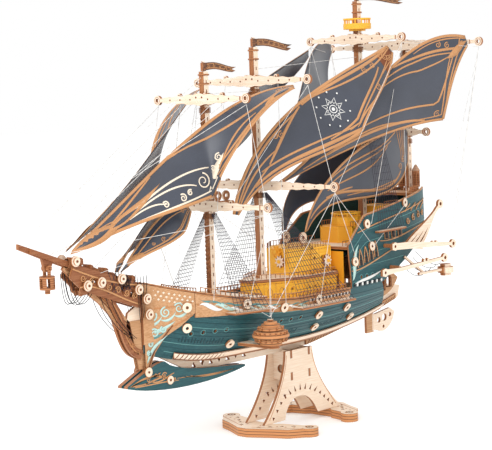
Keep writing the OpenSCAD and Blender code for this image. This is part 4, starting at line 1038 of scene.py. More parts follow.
class SHIP_OT_bow_ornament(bpy.types.Operator):
    """Prints diamonds and turquoise scrolls on the bow panels and gold scrolls on the ram"""
    bl_idname = "ship.bow_ornament"
    bl_label = "Bow ornament"

    def execute(self, context):
        lift = 1.6 + sizes().print_lift / 2 / MM
        on = hull_surface(lift)
        bm = bmesh.new()
        for row in range(3):
            for k in range(9):
                x = -146 + 4.7 * k + (2.3 if row % 2 else 0)
                spot(bm, on, (x, sheer_at(x) - 5 - 3.6 * row), 1.5, 1, 4, 0.8)
        for k in range(3):
            x = -143 + 12 * k
            scroll(bm, on, (x, 52 + 3 * k), 5.2, 1.6, 1.5, 0.6 + k, 1 if k % 2 else -1, 0)
            z = 42 + 3 * k
            leaf(bm, on, [(x - 5, z + 4), (x, z), (x + 6, z + 2), (x + 9, z + 10)], 2.6, 0)
        leaf(bm, on, [(-148, 40), (-140, 34), (-132, 38), (-122, 46)], 4, 0)
        leaf(bm, on, [(-148, 34), (-141, 29), (-136, 32), (-130, 37)], 3, 2)
        vein(bm, on, [(-149, 61), (-136, 58), (-122, 60), (-105, 63)], 1.2, 3)
        vein(bm, on, [(-150, 30), (-138, 32), (-122, 42), (-106, 50)], 1.4, 3)
        make_piece("bow_panel_print", bm, [turquoise_print(), pale_print(), teal_line_print(), tan_mark()],
                   thick=sizes().print_lift)
        bm = bmesh.new()
        skin = hull_surface(0.9)
        band = Surface(lambda share, z: skin.place(STEM_X + 1.5 + share * (6 + 0.55 * max(0, z - 4)), z))
        patch(bm, band, 0, 1, 2, 44, 8, 14)
        made = Surface(skin.place, lift=0.9 * MM)
        for x, z, radius in ((-140, 36, 4.6), (-144, 26, 3.6), (-132, 39, 3.4), (-146, 17, 2.6)):
            scroll(bm, made, (x, z), radius, 1.6, 1.5, 0.6 * radius, 1 if z % 2 else -1, 1)
        leaf(bm, made, [(-149, 8), (-146, 16), (-138, 24), (-128, 33)], 3.2, 1)
        vein(bm, made, [(-147, 4), (-142, 14), (-134, 28), (-124, 42)], 1.1, 2)
        make_piece("stem_band", bm, [tan_ply(), turquoise_print(), char_mark()],
                   thick=0.9 * MM)
        cheek = board(SHEET / 2 + 0.6)
        bm = bmesh.new()
        stem = Surface(lambda share, z: cheek.place(STEM_X - 1 - share * (4 + 0.2 * z), z))
        patch(bm, stem, 0, 1, 3, 50, 2, 10)
        make_piece("stem_cheeks", bm, [tan_ply()], thick=1.0 * MM, smooth=False)
        side = board(SHEET / 2 + GAP + 5 + 0.1)
        bm = bmesh.new()
        leaf(bm, side, [(-174, -10.5), (-160, -9.5), (-146, -5), (-126, -8)], 7)
        inset = board(SHEET / 2 + GAP + 5 + 0.3)
        leaf(bm, inset, [(-168, -10), (-156, -9), (-148, -6.5), (-136, -7)], 3.6, 1)
        scroll(bm, board(SHEET / 2 + GAP + 5 + 0.5), (-150, -7.4), 2.6, 0.9, 1.4, 0.5, 1)
        vein(bm, side, [(-172, -10.5), (-158, -6), (-144, -8), (-134, -3)], 1.6)
        vein(bm, side, [(-168, -12), (-150, -13), (-130, -12), (-110, -14)], 1.2)
        vein(bm, side, [(-146, -10), (-134, -14), (-126, -8), (-116, -6)], 1.4)
        for x, z, radius, hand in [(-152, -9, 2.4, 1), (-140, -5, 3, -1), (-129, -7, 3.6, 1),
                                   (-117, -12, 2.6, -1)]:
            scroll(bm, side, (x, z), radius, 1.1, 1.4, 0.5, hand)
        for k in range(4):
            vein(bm, side, [(-112 + 6 * k, -12), (-96 + 4 * k, -13 - k), (-70, -16 - 0.6 * k),
                            (-30, -15)], 0.6)
        make_piece("ram_print", bm, [gold_print(), teal_ply()], thick=sizes().print_lift)
        bm = bmesh.new()
        for x, y, z, radius in ((-150, 7.2, 0, 4.6), (-122, 7.2, -12, 4.2)):
            disc(bm, x, y, z, radius, 1.6)
            disc(bm, x, y + 1, z, 1.2, 0.5, 1, 12)
        make_piece("stem_washers", bm, [basswood("y"), char_mark()], smooth=False)
        return {"FINISHED"}


class SHIP_OT_gunwale_ornament(bpy.types.Operator):
    """Prints the swirls and dashes of the gunwale band and adds the rail caps"""
    bl_idname = "ship.gunwale_ornament"
    bl_label = "Gunwale ornament"

    def execute(self, context):
        lift = 1.6 + sizes().print_lift / 2 / MM
        on = hull_surface(lift)
        bm = bmesh.new()

        def wave(x0, x1, z, rise, width, mark):
            span = x1 - x0
            leaf(bm, on, [(x0, z(x0)), (x0 + span * 0.3, z(x0) + rise), (x0 + span * 0.65, z(x1) - rise),
                          (x1, z(x1))], width, mark)

        def under(x):
            return sheer_at(x) - (9 if x < -40 else 7)
        for k in range(4):
            x = -100 + 15 * k
            wave(x, x + 24, lambda v: under(v) - 2.5 + 1.6 * (k % 2), 4.5, 4.6 - 0.5 * k, 0 if k % 2 else 2)
            wave(x + 2, x + 22, lambda v: under(v) + 2.5, -3, 2.2, 1)
            scroll(bm, on, (x + 12, under(x + 12) + 1), 2.8, 0.9, 1.4, k, 1 if k % 2 else -1, 3)
        for k in range(5):
            x = -40 + 14 * k
            wave(x, x + 15, lambda v: under(v), 3.4, 2.6, 2 if k % 2 else 0)
            wave(x + 3, x + 17, lambda v: under(v) + 2.4, -2.4, 1.4, 1)
            scroll(bm, on, (x + 8, under(x + 8) - 0.5), 2.1, 0.8, 1.3, k, -1 if k % 2 else 1, 3)
        for row, dark in ((2.6, 0), (8.2, 1)):
            for k in range(24):
                x = 34 + 2.7 * k
                if x > 97:
                    break
                mark = 4 if (k + dark) % 2 else 2
                patch(bm, on, x, x + 1.7, sheer_at(x) - row - 2.2, sheer_at(x) - row + 0.4, 1, 1, mark)
        for drop in (1.2, 11.2):
            stations = [-102 + 4 * i for i in range(51)]
            lay_line(bm, [on.above(x, sheer_at(x) - drop) for x in stations], 0.8, 3)
        make_piece("gunwale_print", bm, [turquoise_print(), teal_line_print(), white_print(), tan_mark(),
                                         black_print()], thick=sizes().print_lift)
        caps = []
        for x0, x1, top in ((STEM_X + 4, 100, sheer_at), (104, 278, rail_at)):
            count = 40
            stations = [x0 + (x1 - x0) * i / count for i in range(count + 1)]
            caps.append([at(x, hull_y(x, top(x)) - 0.9, top(x) + 0.6) for x in stations])
        make_cords("rail_caps", mirrored(caps), 2.6 * MM, tan_ply("z"))
        posts = []
        for x0, x1, top, high in ((-96, -30, sheer_at, 5), (-14, 94, sheer_at, 5)):
            count = int((x1 - x0) / 5)
            rail = []
            for i in range(count + 1):
                x = x0 + (x1 - x0) * i / count
                foot = at(x, hull_y(x, top(x)) - 1.2, top(x) + 1)
                posts.append([foot, foot + Vector((0, 0, high * MM))])
                rail.append(foot + Vector((0, 0, high * MM)))
            posts.append(rail)
        make_cords("bulwark_rails", mirrored(posts), 1.1 * MM, tan_ply("z"))
        return {"FINISHED"}


class SHIP_OT_stern_ornament(bpy.types.Operator):
    """Carves the arches, leaves and windows of the quarters and galleries"""
    bl_idname = "ship.stern_ornament"
    bl_label = "Stern ornament"

    def execute(self, context):
        lift = 0.5 + sizes().print_lift / 2 / MM
        on = hull_surface(lift)
        bm = bmesh.new()
        for k in range(5):
            x = 112 + 9.5 * k
            base = 72 + 2.0 * k
            for hand in (-1, 1):
                foot, shoulder = x + 3.4 * hand, x + hand
                vein(bm, on, [(foot, base), (foot, base + 9), (shoulder, base + 14), (x, base + 17)],
                     1.0, 0, 8, 0.8)
            spot(bm, on, (x, base + 9), 1.7, 4, 12)
            patch(bm, on, x - 2, x + 2, base, base + 6, 2, 2, 4)
        for k in range(12):
            x = 106 + 4.5 * k
            patch(bm, on, x, x + 2.4, 53.4, 56.6, 1, 1, 1 if k % 2 else 4)
        leaf(bm, on, [(104, 60), (112, 66), (106, 84), (120, 96)], 5, 2)
        leaf(bm, on, [(106, 56), (122, 60), (134, 58), (160, 66)], 3, 1)
        vein(bm, on, [(104, 70), (118, 68), (150, 78), (196, 88)], 1.4, 0)
        vein(bm, on, [(160, 96), (190, 92), (230, 104), (276, 106)], 1.4, 0)
        for k in range(4):
            x = 222 + 14 * k
            scroll(bm, on, (x, 112 + 2 * k), 4, 1.2, 1.4, k, 1 if k % 2 else -1, 0)
            vein(bm, on, [(x - 5, 122), (x, 128), (x + 4, 126), (x + 8, 130)], 1.0, 3)
        vein(bm, on, [(120, 108), (160, 118), (220, 122), (276, 132)], 1.2, 3)
        for x in (170, 184, 198):
            patch(bm, on, x, x + 6, 98, 106, 2, 2, 4)
            outline(bm, on, (x + 3, 102), [(-4, -5), (4, -5), (4, 5), (-4, 5)], 0.9, 0)
        make_piece("quarter_carving", bm, [tan_ply("y"), white_print(), turquoise_print(), gold_print(),
                                           black_print()], thick=0.9 * MM)
        side = board(24 + SHEET / 2 + 0.3)
        bm = bmesh.new()
        for k in range(3):
            x = 175.5 + 11 * k
            z = 36 + 3 * k
            outline(bm, side, (x, z + 5), arch_offsets(4.4, -5.6, 3, (2.6, 6.4), 7.6), 0.8)
        for k in range(5):
            scroll(bm, side, (171 + 8 * k, 52 + 1.8 * k), 2.6, 0.9, 1.3, k, 1 if k % 2 else -1)
        make_piece("gallery_carving", bm, [char_mark()], thick=0.4 * MM)
        lattice = []
        for k in range(9):
            x = 110 + 5 * k
            lattice.append([at(x, hull_y(x, 100) - 1, 96), at(x + 8, hull_y(x + 8, 118) - 1, rail_at(x + 8))])
            lattice.append([at(x + 8, hull_y(x + 8, 100) - 1, 98), at(x, hull_y(x, 110) - 1, rail_at(x))])
        make_cords("quarter_lattice", mirrored(lattice), sizes().net_cord, net_cord(), sides=0)
        return {"FINISHED"}


# ---- deck, masts and moving pieces ------------------------------------------------------------------

DECK_Z, ROOF_Z, UPPER_Z, AFT_Z = 49, 67, 70, 95


def wall_surface(p, q, out):
    """A cabin wall between two points of its plan, out mm proud of it, and its length.

    The first coordinate is in mm along the wall.
    """
    first, last = Vector((*p, 0)), Vector((*q, 0))
    along = (last - first).normalized()
    away = Vector((along.y, -along.x, 0))
    if away.dot(first) < 0 and abs(away.y) > 0.2:
        away = -away
    if abs(away.y) <= 0.2 and away.x > 0 and first.x < 130:
        away = -away

    def place(a, z):
        point = first + along * a + away * out
        return at(point.x, point.y, z)
    return Surface(place), (last - first).length


class SHIP_OT_cabins(bpy.types.Operator):
    """Trims the yellow and orange cabins with seams, windows, corner battens and railings"""
    bl_idname = "ship.cabins"
    bl_label = "Cabin trim"

    def execute(self, context):
        marks, trims = bmesh.new(), bmesh.new()
        plans = [([(-2, 7), (50, 32), (99, 34)], DECK_Z, 18, 6),
                 ([(47, 16), (66, 28), (96, 28), (101, 22)], UPPER_Z, 27, 5),
                 ([(131, 12), (142, 21), (170, 21), (180, 12)], AFT_Z, 17, 4),
                 ([(198, 12), (205, 18), (232, 16)], AFT_Z, 34, 4)]
        for plan, z, high, pitch in plans:
            for p, q in zip(plan, plan[1:]):
                on, span = wall_surface(p, q, 0.12)
                for row in (0.06, 0.94):
                    patch(marks, on, 0.3, span - 0.3, z + high * row - 0.3, z + high * row + 0.3, 8, 1)
                for k in range(int(span / pitch)):
                    spot(marks, on, (2.5 + pitch * k, z + 2.2), 0.55, 0, 6)
                    spot(marks, on, (2.5 + pitch * k, z + high - 2.2), 0.55, 0, 6)
                for k in range(1, int(span / 13)):
                    patch(marks, on, 13 * k - 0.18, 13 * k + 0.18, z + 1.2, z + high - 1.2, 1, 1)
                if span > 16:
                    for k in range(int(span / 13)):
                        x = 6.5 + 13 * k
                        top = z + high * 0.42
                        window = arch_offsets(2.4, -high * 0.24, 1.2, (1.4, 3), 3.9)
                        outline(marks, on, (x, top), window, 0.55)
                on, span = wall_surface(p, q, 0.7)
                patch(trims, on, -0.6, 1.6, z, z + high, 1, 2)
                patch(trims, on, -0.4, span + 0.4, z + high - 1.6, z + high, 3, 1)
                patch(trims, on, -0.4, span + 0.4, z, z + 1.3, 3, 1)
        make_piece("cabin_marks", marks, [tan_mark()], thick=0.12 * MM, smooth=False)
        make_piece("cabin_trim", trims, [yellow_ply()], thick=1.2 * MM, smooth=False)
        bm = bmesh.new()
        porch = Surface(lambda y, z: at(103.6, y, z))
        patch(bm, porch, 17, 40, ROOF_Z - 17, 90, 4, 4)
        front = Surface(lambda y, z: at(103.0, y, z))
        outline(bm, front, (29, 62), arch_offsets(4, -9, 5, (2.6, 8), 9.4), 1.0, 1)
        make_piece("poop_front", bm, [orange_ply(), char_mark()], thick=1.0 * MM,
                   smooth=False)
        rails = []

        def railing(plan, z, high, step):
            for p, q in zip(plan, plan[1:]):
                first, last = at(*p, z), at(*q, z)
                count = max(1, int((last - first).length / MM / step))
                up = Vector((0, 0, high * MM))
                for i in range(count + 1):
                    foot = first.lerp(last, i / count)
                    rails.append([foot, foot + up])
                rails.append([first + up, last + up])
        railing([(47, 15), (66, 27), (96, 27)], UPPER_Z + 27, 5, 4)
        railing([(0, 6), (50, 30.5), (98, 33)], ROOF_Z + 3, 4.5, 5)
        railing([(142, 20), (158, 20)], AFT_Z + 17, 5, 4)
        railing([(205, 17), (232, 15)], AFT_Z + 34, 4.5, 4)
        railing([(108, 36), (150, 38)], AFT_Z, 5, 5)
        make_cords("cabin_railings", mirrored(rails), 0.8 * MM, tan_ply("z"))
        return {"FINISHED"}


class SHIP_OT_mast_fittings(bpy.types.Operator):
    """Adds bands, wedges and etched marks to the masts and yards"""
    bl_idname = "ship.mast_fittings"
    bl_label = "Mast fittings"

    def execute(self, context):
        bm, fishes = bmesh.new(), bmesh.new()
        for x, low, high in ((FORE_X, 62, FORE_TOP), (MAIN_X, 74, MAIN_TOP), (MIZZEN_X, 98, MIZZEN_TOP),
                             (JIGGER_X, 145, JIGGER_TOP)):
            side = board(MAST + 0.12)
            for k in range(int((high - low) / 9)):
                z = low + 9 * k
                patch(bm, side, x - 0.5, x + 0.5, z, z + 3.4, 1, 1)
        for x, z, half in ((FORE_X, FORE_YARD_Z, FORE_YARD), (FORE_X, FORE_LOW_Z, FORE_LOW),
                           (MAIN_X, MAIN_YARD_Z, MAIN_YARD), (MAIN_X, MAIN_LOW_Z, MAIN_LOW),
                           (MIZZEN_X, MIZZEN_YARD_Z, MIZZEN_YARD), (JIGGER_X, JIGGER_YARD_Z, JIGGER_YARD),
                           (JIGGER_X, JIGGER_LOW_Z, 30)):
            face = Surface(lambda y, h, x=x: at(x - MAST - SHEET - 0.12, y, h))
            outline(bm, face, (half, z), ring_offsets(3.4, 16), 0.35)
            shape = Surface(lambda y, v, x=x, z=z, half=half: at(
                x - MAST - SHEET - 0.9, y, z + v * (2.2 + 3.6 * max(0, 1 - abs(y) / half / 0.9) ** 1.2
                                                    + 0.5 * math.cos(abs(y) * 0.42))))
            patch(fishes, shape, -half * 0.9, half * 0.9, -1, 1, 36, 1)
            lifted = Surface(lambda y, h, x=x: at(x - MAST - SHEET - 1.7, y, h))
            for k in range(1, int(half / 14)):
                spot(bm, lifted, (14 * k - 2, z), 0.9, 0, 8)
            spot(bm, lifted, (4, z + 2), 1.0, 0, 8)
        make_piece("spar_marks", bm, [char_mark()], thick=0.14 * MM, smooth=False)
        make_piece("yard_fishes", fishes, [basswood("x", "y")], both=False, thick=1.4 * MM,
                   smooth=False)
        bm = bmesh.new()
        for x, z in ((FORE_X, FORE_TOP), (MAIN_X, MAIN_TOP), (MIZZEN_X, MIZZEN_TOP)):
            for low in (z - 3.2, z - 12):
                made = bmesh.ops.create_cube(bm, size=1.0)
                for vert in made["verts"]:
                    vert.co = at(x + vert.co.x * (2 * MAST + 1.6), vert.co.y * (2 * MAST + 1.6),
                                 low + vert.co.z * 1.6)
        bmesh.ops.bevel(bm, geom=bm.edges[:], offset=0.25 * MM, offset_type="OFFSET", segments=2, profile=0.5,
                        affect="EDGES", material=-1)
        make_piece("mast_bands", bm, [brown_ply("z")], both=False, smooth=False)
        return {"FINISHED"}


class SHIP_OT_vane_prints(bpy.types.Operator):
    """Prints scrolls on the three wind vanes, each on its own turning body"""
    bl_idname = "ship.vane_prints"
    bl_label = "Vane prints"

    def execute(self, context):
        vanes = [("fore", FORE_X, FORE_TOP, 46, 0), ("main", MAIN_X, MAIN_TOP, 59, 3),
                 ("mizzen", MIZZEN_X, MIZZEN_TOP, 84, 1)]
        for name, x, top, reach, drop in vanes:
            bm = bmesh.new()
            side = board(0.6 + 0.1)
            for row in (0.22, 0.78):
                count = 12
                line = []
                for i in range(count + 1):
                    t = 0.06 + 0.78 * i / count
                    low = 0.8 * (1 - t) - drop * t + 1.5 * math.sin(math.radians(300 * t))
                    high = 8.4 * (1 - t) + (5 - drop / 2) * t + 1.5 * math.sin(math.radians(300 * t))
                    line.append(side.above(x + 2 + (reach - 2) * t, top + low + (high - low) * row))
                lay_line(bm, line, 0.6)
            for k in range(int(reach / 9)):
                t = (7 + 8 * k) / reach
                middle = 4.6 - (drop / 2 + 2) * t + 1.5 * math.sin(math.radians(300 * t))
                scroll(bm, side, (x + 7 + 8 * k, top + middle), 1.9, 0.6, 1.3, k, 1 if k % 2 else -1)
            make_piece(f"vane_{name}_print", bm, [gold_print()], "vane_" + name,
                       thick=0.12 * MM)
        return {"FINISHED"}


class SHIP_OT_turret_fittings(bpy.types.Operator):
    """Adds three rows of battens round the turning side turrets"""
    bl_idname = "ship.turret_fittings"
    bl_label = "Side turret fittings"

    def execute(self, context):
        x, y, z = TURRET
        z += 0.4
        for body, sign in (("turret_starboard", 1), ("turret_port", -1)):
            bm = bmesh.new()
            for count, radius, low, high, wide in ((16, 15.6, 3.2, 5.8, 1.5), (18, 16.2, 10.6, 13.0, 1.4),
                                                   (10, 12.6, 14.6, 17.4, 1.3)):
                for k in range(count):
                    made = bmesh.ops.create_cube(bm, size=1.0)
                    turn = Matrix.Rotation(2 * math.pi * k / count, 3, "Z")
                    for vert in made["verts"]:
                        local = turn @ Vector((radius + vert.co.x * 1.2, vert.co.y * wide, 0))
                        vert.co = at(x + local.x, sign * (y + local.y), z + (low + high) / 2
                                     + vert.co.z * (high - low))
            make_piece(f"{body}_battens", bm, [tan_ply("z")], body, both=False, smooth=False)
        return {"FINISHED"}


class SHIP_OT_beakhead(bpy.types.Operator):
    """Builds the lacy rails, stacked blocks and rings of the beakhead"""
    bl_idname = "ship.beakhead"
    bl_label = "Beakhead"

    def execute(self, context):
        side = board(SHEET / 2 + GAP + SHEET + 2.4 + 0.25)
        bm = bmesh.new()
        vein(bm, side, [(-238, 108), (-214, 97), (-186, 88), (-158, 84)], 1.6, 0, 18, 0.9)
        vein(bm, side, [(-230, 90), (-206, 92), (-184, 74), (-158, 66)], 1.6, 0, 18, 0.9)
        for k in range(7):
            x = -226 + 10.5 * k
            z = 98 - 3.9 * k
            scroll(bm, side, (x, z), 3.4, 1.0, 1.5, 0.7 * k, 1 if k % 2 else -1)
        make_piece("beakhead_scrolls", bm, [gold_print()], thick=0.6 * MM)
        knees = board(SHEET / 2 + GAP + SHEET + 0.25)
        bm = bmesh.new()
        vein(bm, knees, [(-224, 84), (-206, 89), (-188, 76), (-178, 50)], 1.2, 0, 20, 0.8)
        vein(bm, knees, [(-178, 46), (-170, 26), (-164, 21), (-157, 18)], 1.4, 0, 14, 0.8)
        for k in range(4):
            scroll(bm, knees, (-176 + 5.4 * k, 42 - 7 * k), 2.2, 0.8, 1.4, k, 1)
        make_piece("cutwater_marks", bm, [tan_mark()], thick=0.3 * MM)
        bm = bmesh.new()
        middle = board(0)
        line = [middle.above(x, z) for x, z in ((-243, 110), (-227, 97), (-212, 87), (-198, 77), (-186, 64),
                                                (-175, 49), (-163, 37), (-152, 24), (-147, 8), (-146, 0))]
        lay_line(bm, line, [6, 10, 13, 14, 13, 13, 14, 13, 10, 7])
        make_piece("bow_knee", bm, [tan_ply()], both=False, thick=SHEET * MM, smooth=False)
        bm = bmesh.new()
        patch(bm, middle, 187, 197.2, -11, 16, 2, 4)
        make_piece("stern_post", bm, [tan_ply()], both=False, thick=SHEET * MM, smooth=False)
        bm = bmesh.new()
        front = board(SHEET / 2 + 0.15)
        vein(bm, front, [(-232, 100), (-206, 92), (-190, 66), (-166, 46)], 0.8, 0, 30, 0.9)
        vein(bm, front, [(-226, 92), (-200, 82), (-184, 52), (-152, 30)], 0.8, 0, 30, 0.9)
        for x, z in ((-214, 88), (-200, 78), (-187, 65), (-176, 50), (-163, 37)):
            scroll(bm, front, (x, z), 2.6, 0.8, 1.4, x, 1)
        make_piece("bow_knee_marks", bm, [char_mark()], thick=0.3 * MM, smooth=False)
        bm = bmesh.new()
        for x, high in ((-233, 6), (-226, 8), (-214, 5), (-196, 7), (-188, 5), (-170, 7), (-163, 9)):
            z = sprit_z(x) + 2
            for k in range(3):
                made = bmesh.ops.create_cube(bm, size=1.0)
                for vert in made["verts"]:
                    vert.co = at(x + k * 1.9 + vert.co.x * 1.6, vert.co.y * (11 - 2 * k),
                                 z + high / 2 + vert.co.z * (high - 1.5 * k))
        bmesh.ops.bevel(bm, geom=bm.edges[:], offset=0.3 * MM, offset_type="OFFSET", segments=2, profile=0.5,
                        affect="EDGES", material=-1)
        make_piece("sprit_blocks", bm, [brown_ply("y")], both=False, smooth=False)
        bm = bmesh.new()
        for x, z in ((-236, sprit_z(-236) + 4), (-223, 91), (-206, 92), (-181, sprit_z(-181) + 3), (-160, 80),
                     (-150, 70), (-148, 55)):
            disc(bm, x, 9.6, z, 5.0, 1.5)
            disc(bm, x, 11.1, z, 3.4, 1.5)
            disc(bm, x, 12.1, z, 1.2, 0.5, 1, 12)
        make_piece("bow_washers", bm, [basswood("y"), char_mark()], smooth=False)
        return {"FINISHED"}


class SHIP_OT_stand_marks(bpy.types.Operator):
    """Engraves the stand's sides and feet"""
    bl_idname = "ship.stand_marks"
    bl_label = "Stand engraving"

    def execute(self, context):
        side = board(10.5 + SHEET + 0.05)
        bm = bmesh.new()
        for route in ([(39, 76), (38, 56), (24, 32), (10, 13)], [(79, 76), (81, 56), (98, 34), (116, 13)]):
            vein(bm, side, [(x, z - KEEL_Z) for x, z in route], 0.7, 0, 20, 0.9)
        make_piece("stand_engraving", bm, [tan_mark()], thick=0.12 * MM, smooth=False)
        bm = bmesh.new()
        for x0, half, sweep, facing in ((-17, 63, 30, 1), (138, 52, 24, -1)):
            top = Surface(lambda u, v, x0=x0, facing=facing: Vector((x0 + facing * u, v, 9.1)) * MM)
            for k in range(6):
                t = 0.14 + 0.14 * k
                u, v = sweep * t * 0.7 + 15, half * t
                made = bmesh.ops.create_circle(bm, cap_ends=True, segments=3, radius=1.5 * MM)
                for vert in made["verts"]:
                    vert.co += top(u, v)
            line = [top(sweep * t + 4, half * t) for t in [0.1 + 0.05 * i for i in range(17)]]
            lay_strip(bm, line, [Vector((0, 0, 1))] * len(line), [0.6] * len(line))
        make_piece("foot_engraving", bm, [tan_mark()], thick=0.12 * MM, smooth=False)
        bm = bmesh.new()
        rail = board(SHEET / 2 + GAP + 2 + 0.15)
        for k in range(30):
            x = 84 + 5.1 * k
            z = low_at(x) - 10 + (4 * math.sin(math.radians(min(90, x - 80))))
            vein(bm, rail, [(x, z + 1), (x + 1.6, z + 2.4), (x + 3, z + 3.8), (x + 4.6, z + 5.4)],
                 0.7, 0, 4, 0.9)
        make_piece("keel_rail_lay", bm, [char_mark()], thick=0.2 * MM, smooth=False)
        skin = hull_surface(1.6)
        band = Surface(lambda x, v: skin.place(x, low_at(x) + 0.6 + v * 6.4))
        bm = bmesh.new()
        patch(bm, band, -118, 194, 0, 1, 78, 2)
        make_piece("keel_trim", bm, [basswood()], thick=1.6 * MM)
        over = hull_surface(2.5)
        lay = Surface(lambda x, v: over.place(x, low_at(x) + 0.6 + v * 6.4))
        bm = bmesh.new()
        for k in range(60):
            x = -116 + 5.1 * k
            lay_strip(bm, [lay(x, 0.08), lay(x + 2.2, 0.5), lay(x + 3.4, 0.92)],
                      [normal_on(lay, x + 2.2, 0.5)[0]] * 3, [0.6, 1.3, 0.6])
        for v in (0.05, 0.95):
            line = [lay.above(-118 + 312 * i / 78, v) for i in range(79)]
            lay_line(bm, line, 0.6)
        make_piece("keel_trim_marks", bm, [char_mark()], thick=0.2 * MM)
        return {"FINISHED"}


# ---- finishes of the carried-over pieces -------------------------------------------------------------

class SHIP_OT_ply_finishes(bpy.types.Operator):
    """Gives every plywood piece of the frame its own wood or print finish"""
    bl_idname = "ship.ply_finishes"
    bl_label = "Plywood finishes"

    def execute(self, context):
        finishes = {
            laser_cut_ply("stacked basswood ply", "cream", "cream_deep", "z", "y", seams=SHEET): (
                "stand_foot_front", "stand_foot_rear"),
            basswood("z", "y"): ("fore_deck", "main_deck", "poop_deck",
                                 "cabin_roof", "channel_boards", "stern_lanterns"),
            basswood("y", "x"): ("stand_side_port", "stand_side_starboard", "keel_board", "hull_rings",
                                 "stern_booms", "stern_fans", "rudder", "gear_side", "fore_mast", "main_mast",
                                 "mizzen_mast", "jigger_mast"),
            basswood("x", "y"): ("stand_yokes", "bulkheads", "fore_yards", "main_yards", "mizzen_yard_arm",
                                 "jigger_yards", "gear_driver"),
            tan_ply("y", "x"): ("keel_rails", "gunwale_bands", "bow_panels", "stern_galleries"),
            tan_ply("z", "y"): ("taffrail", "stern_counter"),
            brown_ply("y", "x"): ("cutwater_knees", "beakhead_rails", "bowsprit"),
            brown_ply("z", "x"): ("bow_lantern",),
            laser_cut_ply("stacked brown ply", "tan", "brown", "z", "x", seams=SHEET): (
                "side_turret_port", "side_turret_starboard"),
            teal_ply(): ("hull_side_port", "hull_side_starboard", "ram_cheeks", "stern_quarters"),
            yellow_ply(): ("lower_cabin", "upper_cabin", "lookout_turret", "crows_nest"),
            orange_ply(): ("aft_cabin", "stern_cabin", "gear_driven"),
            laser_cut_ply("grey-brown printed vane veneer", "brown", "black"): (
                "pennant_fore", "pennant_main", "pennant_mizzen"),
        }
        for material, nodes in finishes.items():
            for node in nodes:
                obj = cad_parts[node]
                if not obj.material_slots:
                    obj.data.materials.append(material)
                for place in obj.material_slots:
                    place.material = material
        return {"FINISHED"}


# ---- stage and camera ----------------------------------------------------------------------------------

class SHIP_OT_camera(bpy.types.Operator):
    """Sets the camera off the port bow"""
    bl_idname = "ship.camera"
    bl_label = "Camera"

    def execute(self, context):
        view = context.scene.ship_camera
        a, e = view.azimuth, view.elevation
        back = Vector((math.sin(a) * math.cos(e), -math.cos(a) * math.cos(e), math.sin(e)))
        right = Vector((0, 0, 1)).cross(back).normalized()
        turn = Matrix.Rotation(view.roll, 3, back)
        right = turn.inverted() @ right
        up = back.cross(right)
        place = Vector((0, 0, view.aim_z)) + back * view.distance
        data = bpy.data.cameras.new("ship_camera")
        data.lens = view.lens
        data.sensor_width = 36
        data.clip_end = 20
        obj = bpy.data.objects.new("ship_camera", data)
        obj.matrix_world = Matrix.Translation(place) @ Matrix((right, up, back)).transposed().to_4x4()
        context.scene.collection.objects.link(obj)
        context.scene.camera = obj
        return {"FINISHED"}


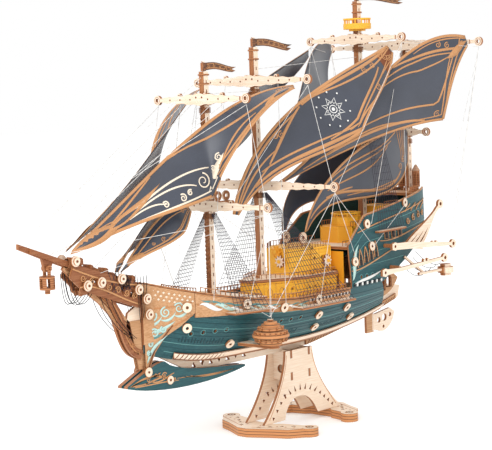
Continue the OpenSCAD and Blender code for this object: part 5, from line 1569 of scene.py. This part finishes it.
class SHIP_OT_studio(bpy.types.Operator):
    """Lays the plain floor and backdrop and sets soft studio lights"""
    bl_idname = "ship.studio"
    bl_label = "Studio"

    def execute(self, context):
        bm = bmesh.new()
        bmesh.ops.create_grid(bm, x_segments=1, y_segments=1, size=9.0)
        mesh = bpy.data.meshes.new("floor")
        bm.to_mesh(mesh)
        bm.free()
        material, tree = blank_material("matt white studio paper")
        if tree is not None:
            coords = add_node(tree, "ShaderNodeTexCoord")
            tooth = add_node(tree, "ShaderNodeTexNoise", {"Vector": coords.outputs["Object"], "Scale": 900.0})
            close_material(tree, shade("floor"), 0.9, tooth.outputs[0], 0.02, Specular_IOR_Level=0.0,
                           Emission_Color=shade("floor"), Emission_Strength=0.16)
        mesh.materials.append(material)
        floor = bpy.data.objects.new("floor", mesh)
        context.scene.collection.objects.link(floor)
        world = bpy.data.worlds.new("studio air")
        world.use_nodes = True
        air = world.node_tree.nodes["Background"]
        air.inputs[0].default_value = (1.0, 1.0, 1.0, 1.0)
        air.inputs[1].default_value = 1.0
        context.scene.world = world
        context.scene.view_settings.view_transform = "Standard"
        lamps = (("key", (-1.5, -0.9, 1.5), 1.2, 22), ("rim", (1.2, 1.2, 1.9), 1.4, 8))
        for name, place, size, power in lamps:
            lamp = bpy.data.lights.new(name, "AREA")
            lamp.size = size
            lamp.energy = power
            obj = bpy.data.objects.new(name, lamp)
            aim = Vector((0, 0, 0.2)) - Vector(place)
            obj.matrix_world = Matrix.Translation(place) @ aim.to_track_quat("-Z", "Y").to_matrix().to_4x4()
            context.scene.collection.objects.link(obj)
        return {"FINISHED"}


# ---- add-on ---------------------------------------------------------------------------------------------

OPERATORS = (SHIP_OT_camera, SHIP_OT_ply_finishes, SHIP_OT_jib_sails, SHIP_OT_fore_sails, SHIP_OT_main_sails,
             SHIP_OT_mizzen_sails, SHIP_OT_jigger_sails, SHIP_OT_shroud_nets, SHIP_OT_rigging,
             SHIP_OT_lashings, SHIP_OT_bow_cords, SHIP_OT_planking_lines, SHIP_OT_bow_ornament,
             SHIP_OT_gunwale_ornament, SHIP_OT_stern_ornament, SHIP_OT_cabins, SHIP_OT_mast_fittings,
             SHIP_OT_vane_prints, SHIP_OT_turret_fittings, SHIP_OT_beakhead, SHIP_OT_stand_marks,
             SHIP_OT_studio)


class SHIP_PT_panel(bpy.types.Panel):
    """Lists the ship's pieces in the sidebar"""
    bl_label = "Ship"
    bl_idname = "SHIP_PT_panel"
    bl_space_type = "VIEW_3D"
    bl_region_type = "UI"
    bl_category = "Ship"

    def draw(self, context):
        column = self.layout.column()
        for group in (context.scene.ship_sizes, context.scene.ship_colours, context.scene.ship_camera):
            for key in group.__annotations__:
                column.prop(group, key)
        for operator in OPERATORS:
            column.operator(operator.bl_idname)


GROUPS = {"ship_sizes": ShipSizes, "ship_colours": ShipColours, "ship_camera": ShipCamera}


def register():
    for group in GROUPS.values():
        bpy.utils.register_class(group)
    for name, group in GROUPS.items():
        setattr(bpy.types.Scene, name, bpy.props.PointerProperty(type=group))
    for operator in OPERATORS + (SHIP_PT_panel,):
        bpy.utils.register_class(operator)


def unregister():
    for operator in reversed(OPERATORS + (SHIP_PT_panel,)):
        bpy.utils.unregister_class(operator)
    for name, group in GROUPS.items():
        delattr(bpy.types.Scene, name)
        bpy.utils.unregister_class(group)


def main():
    register()
    for operator in OPERATORS:
        if getattr(bpy.ops.ship, operator.bl_idname.split(".")[1])() != {"FINISHED"}:
            raise RuntimeError(operator.bl_label + " did not finish")


if __name__ == "__main__":
    main()
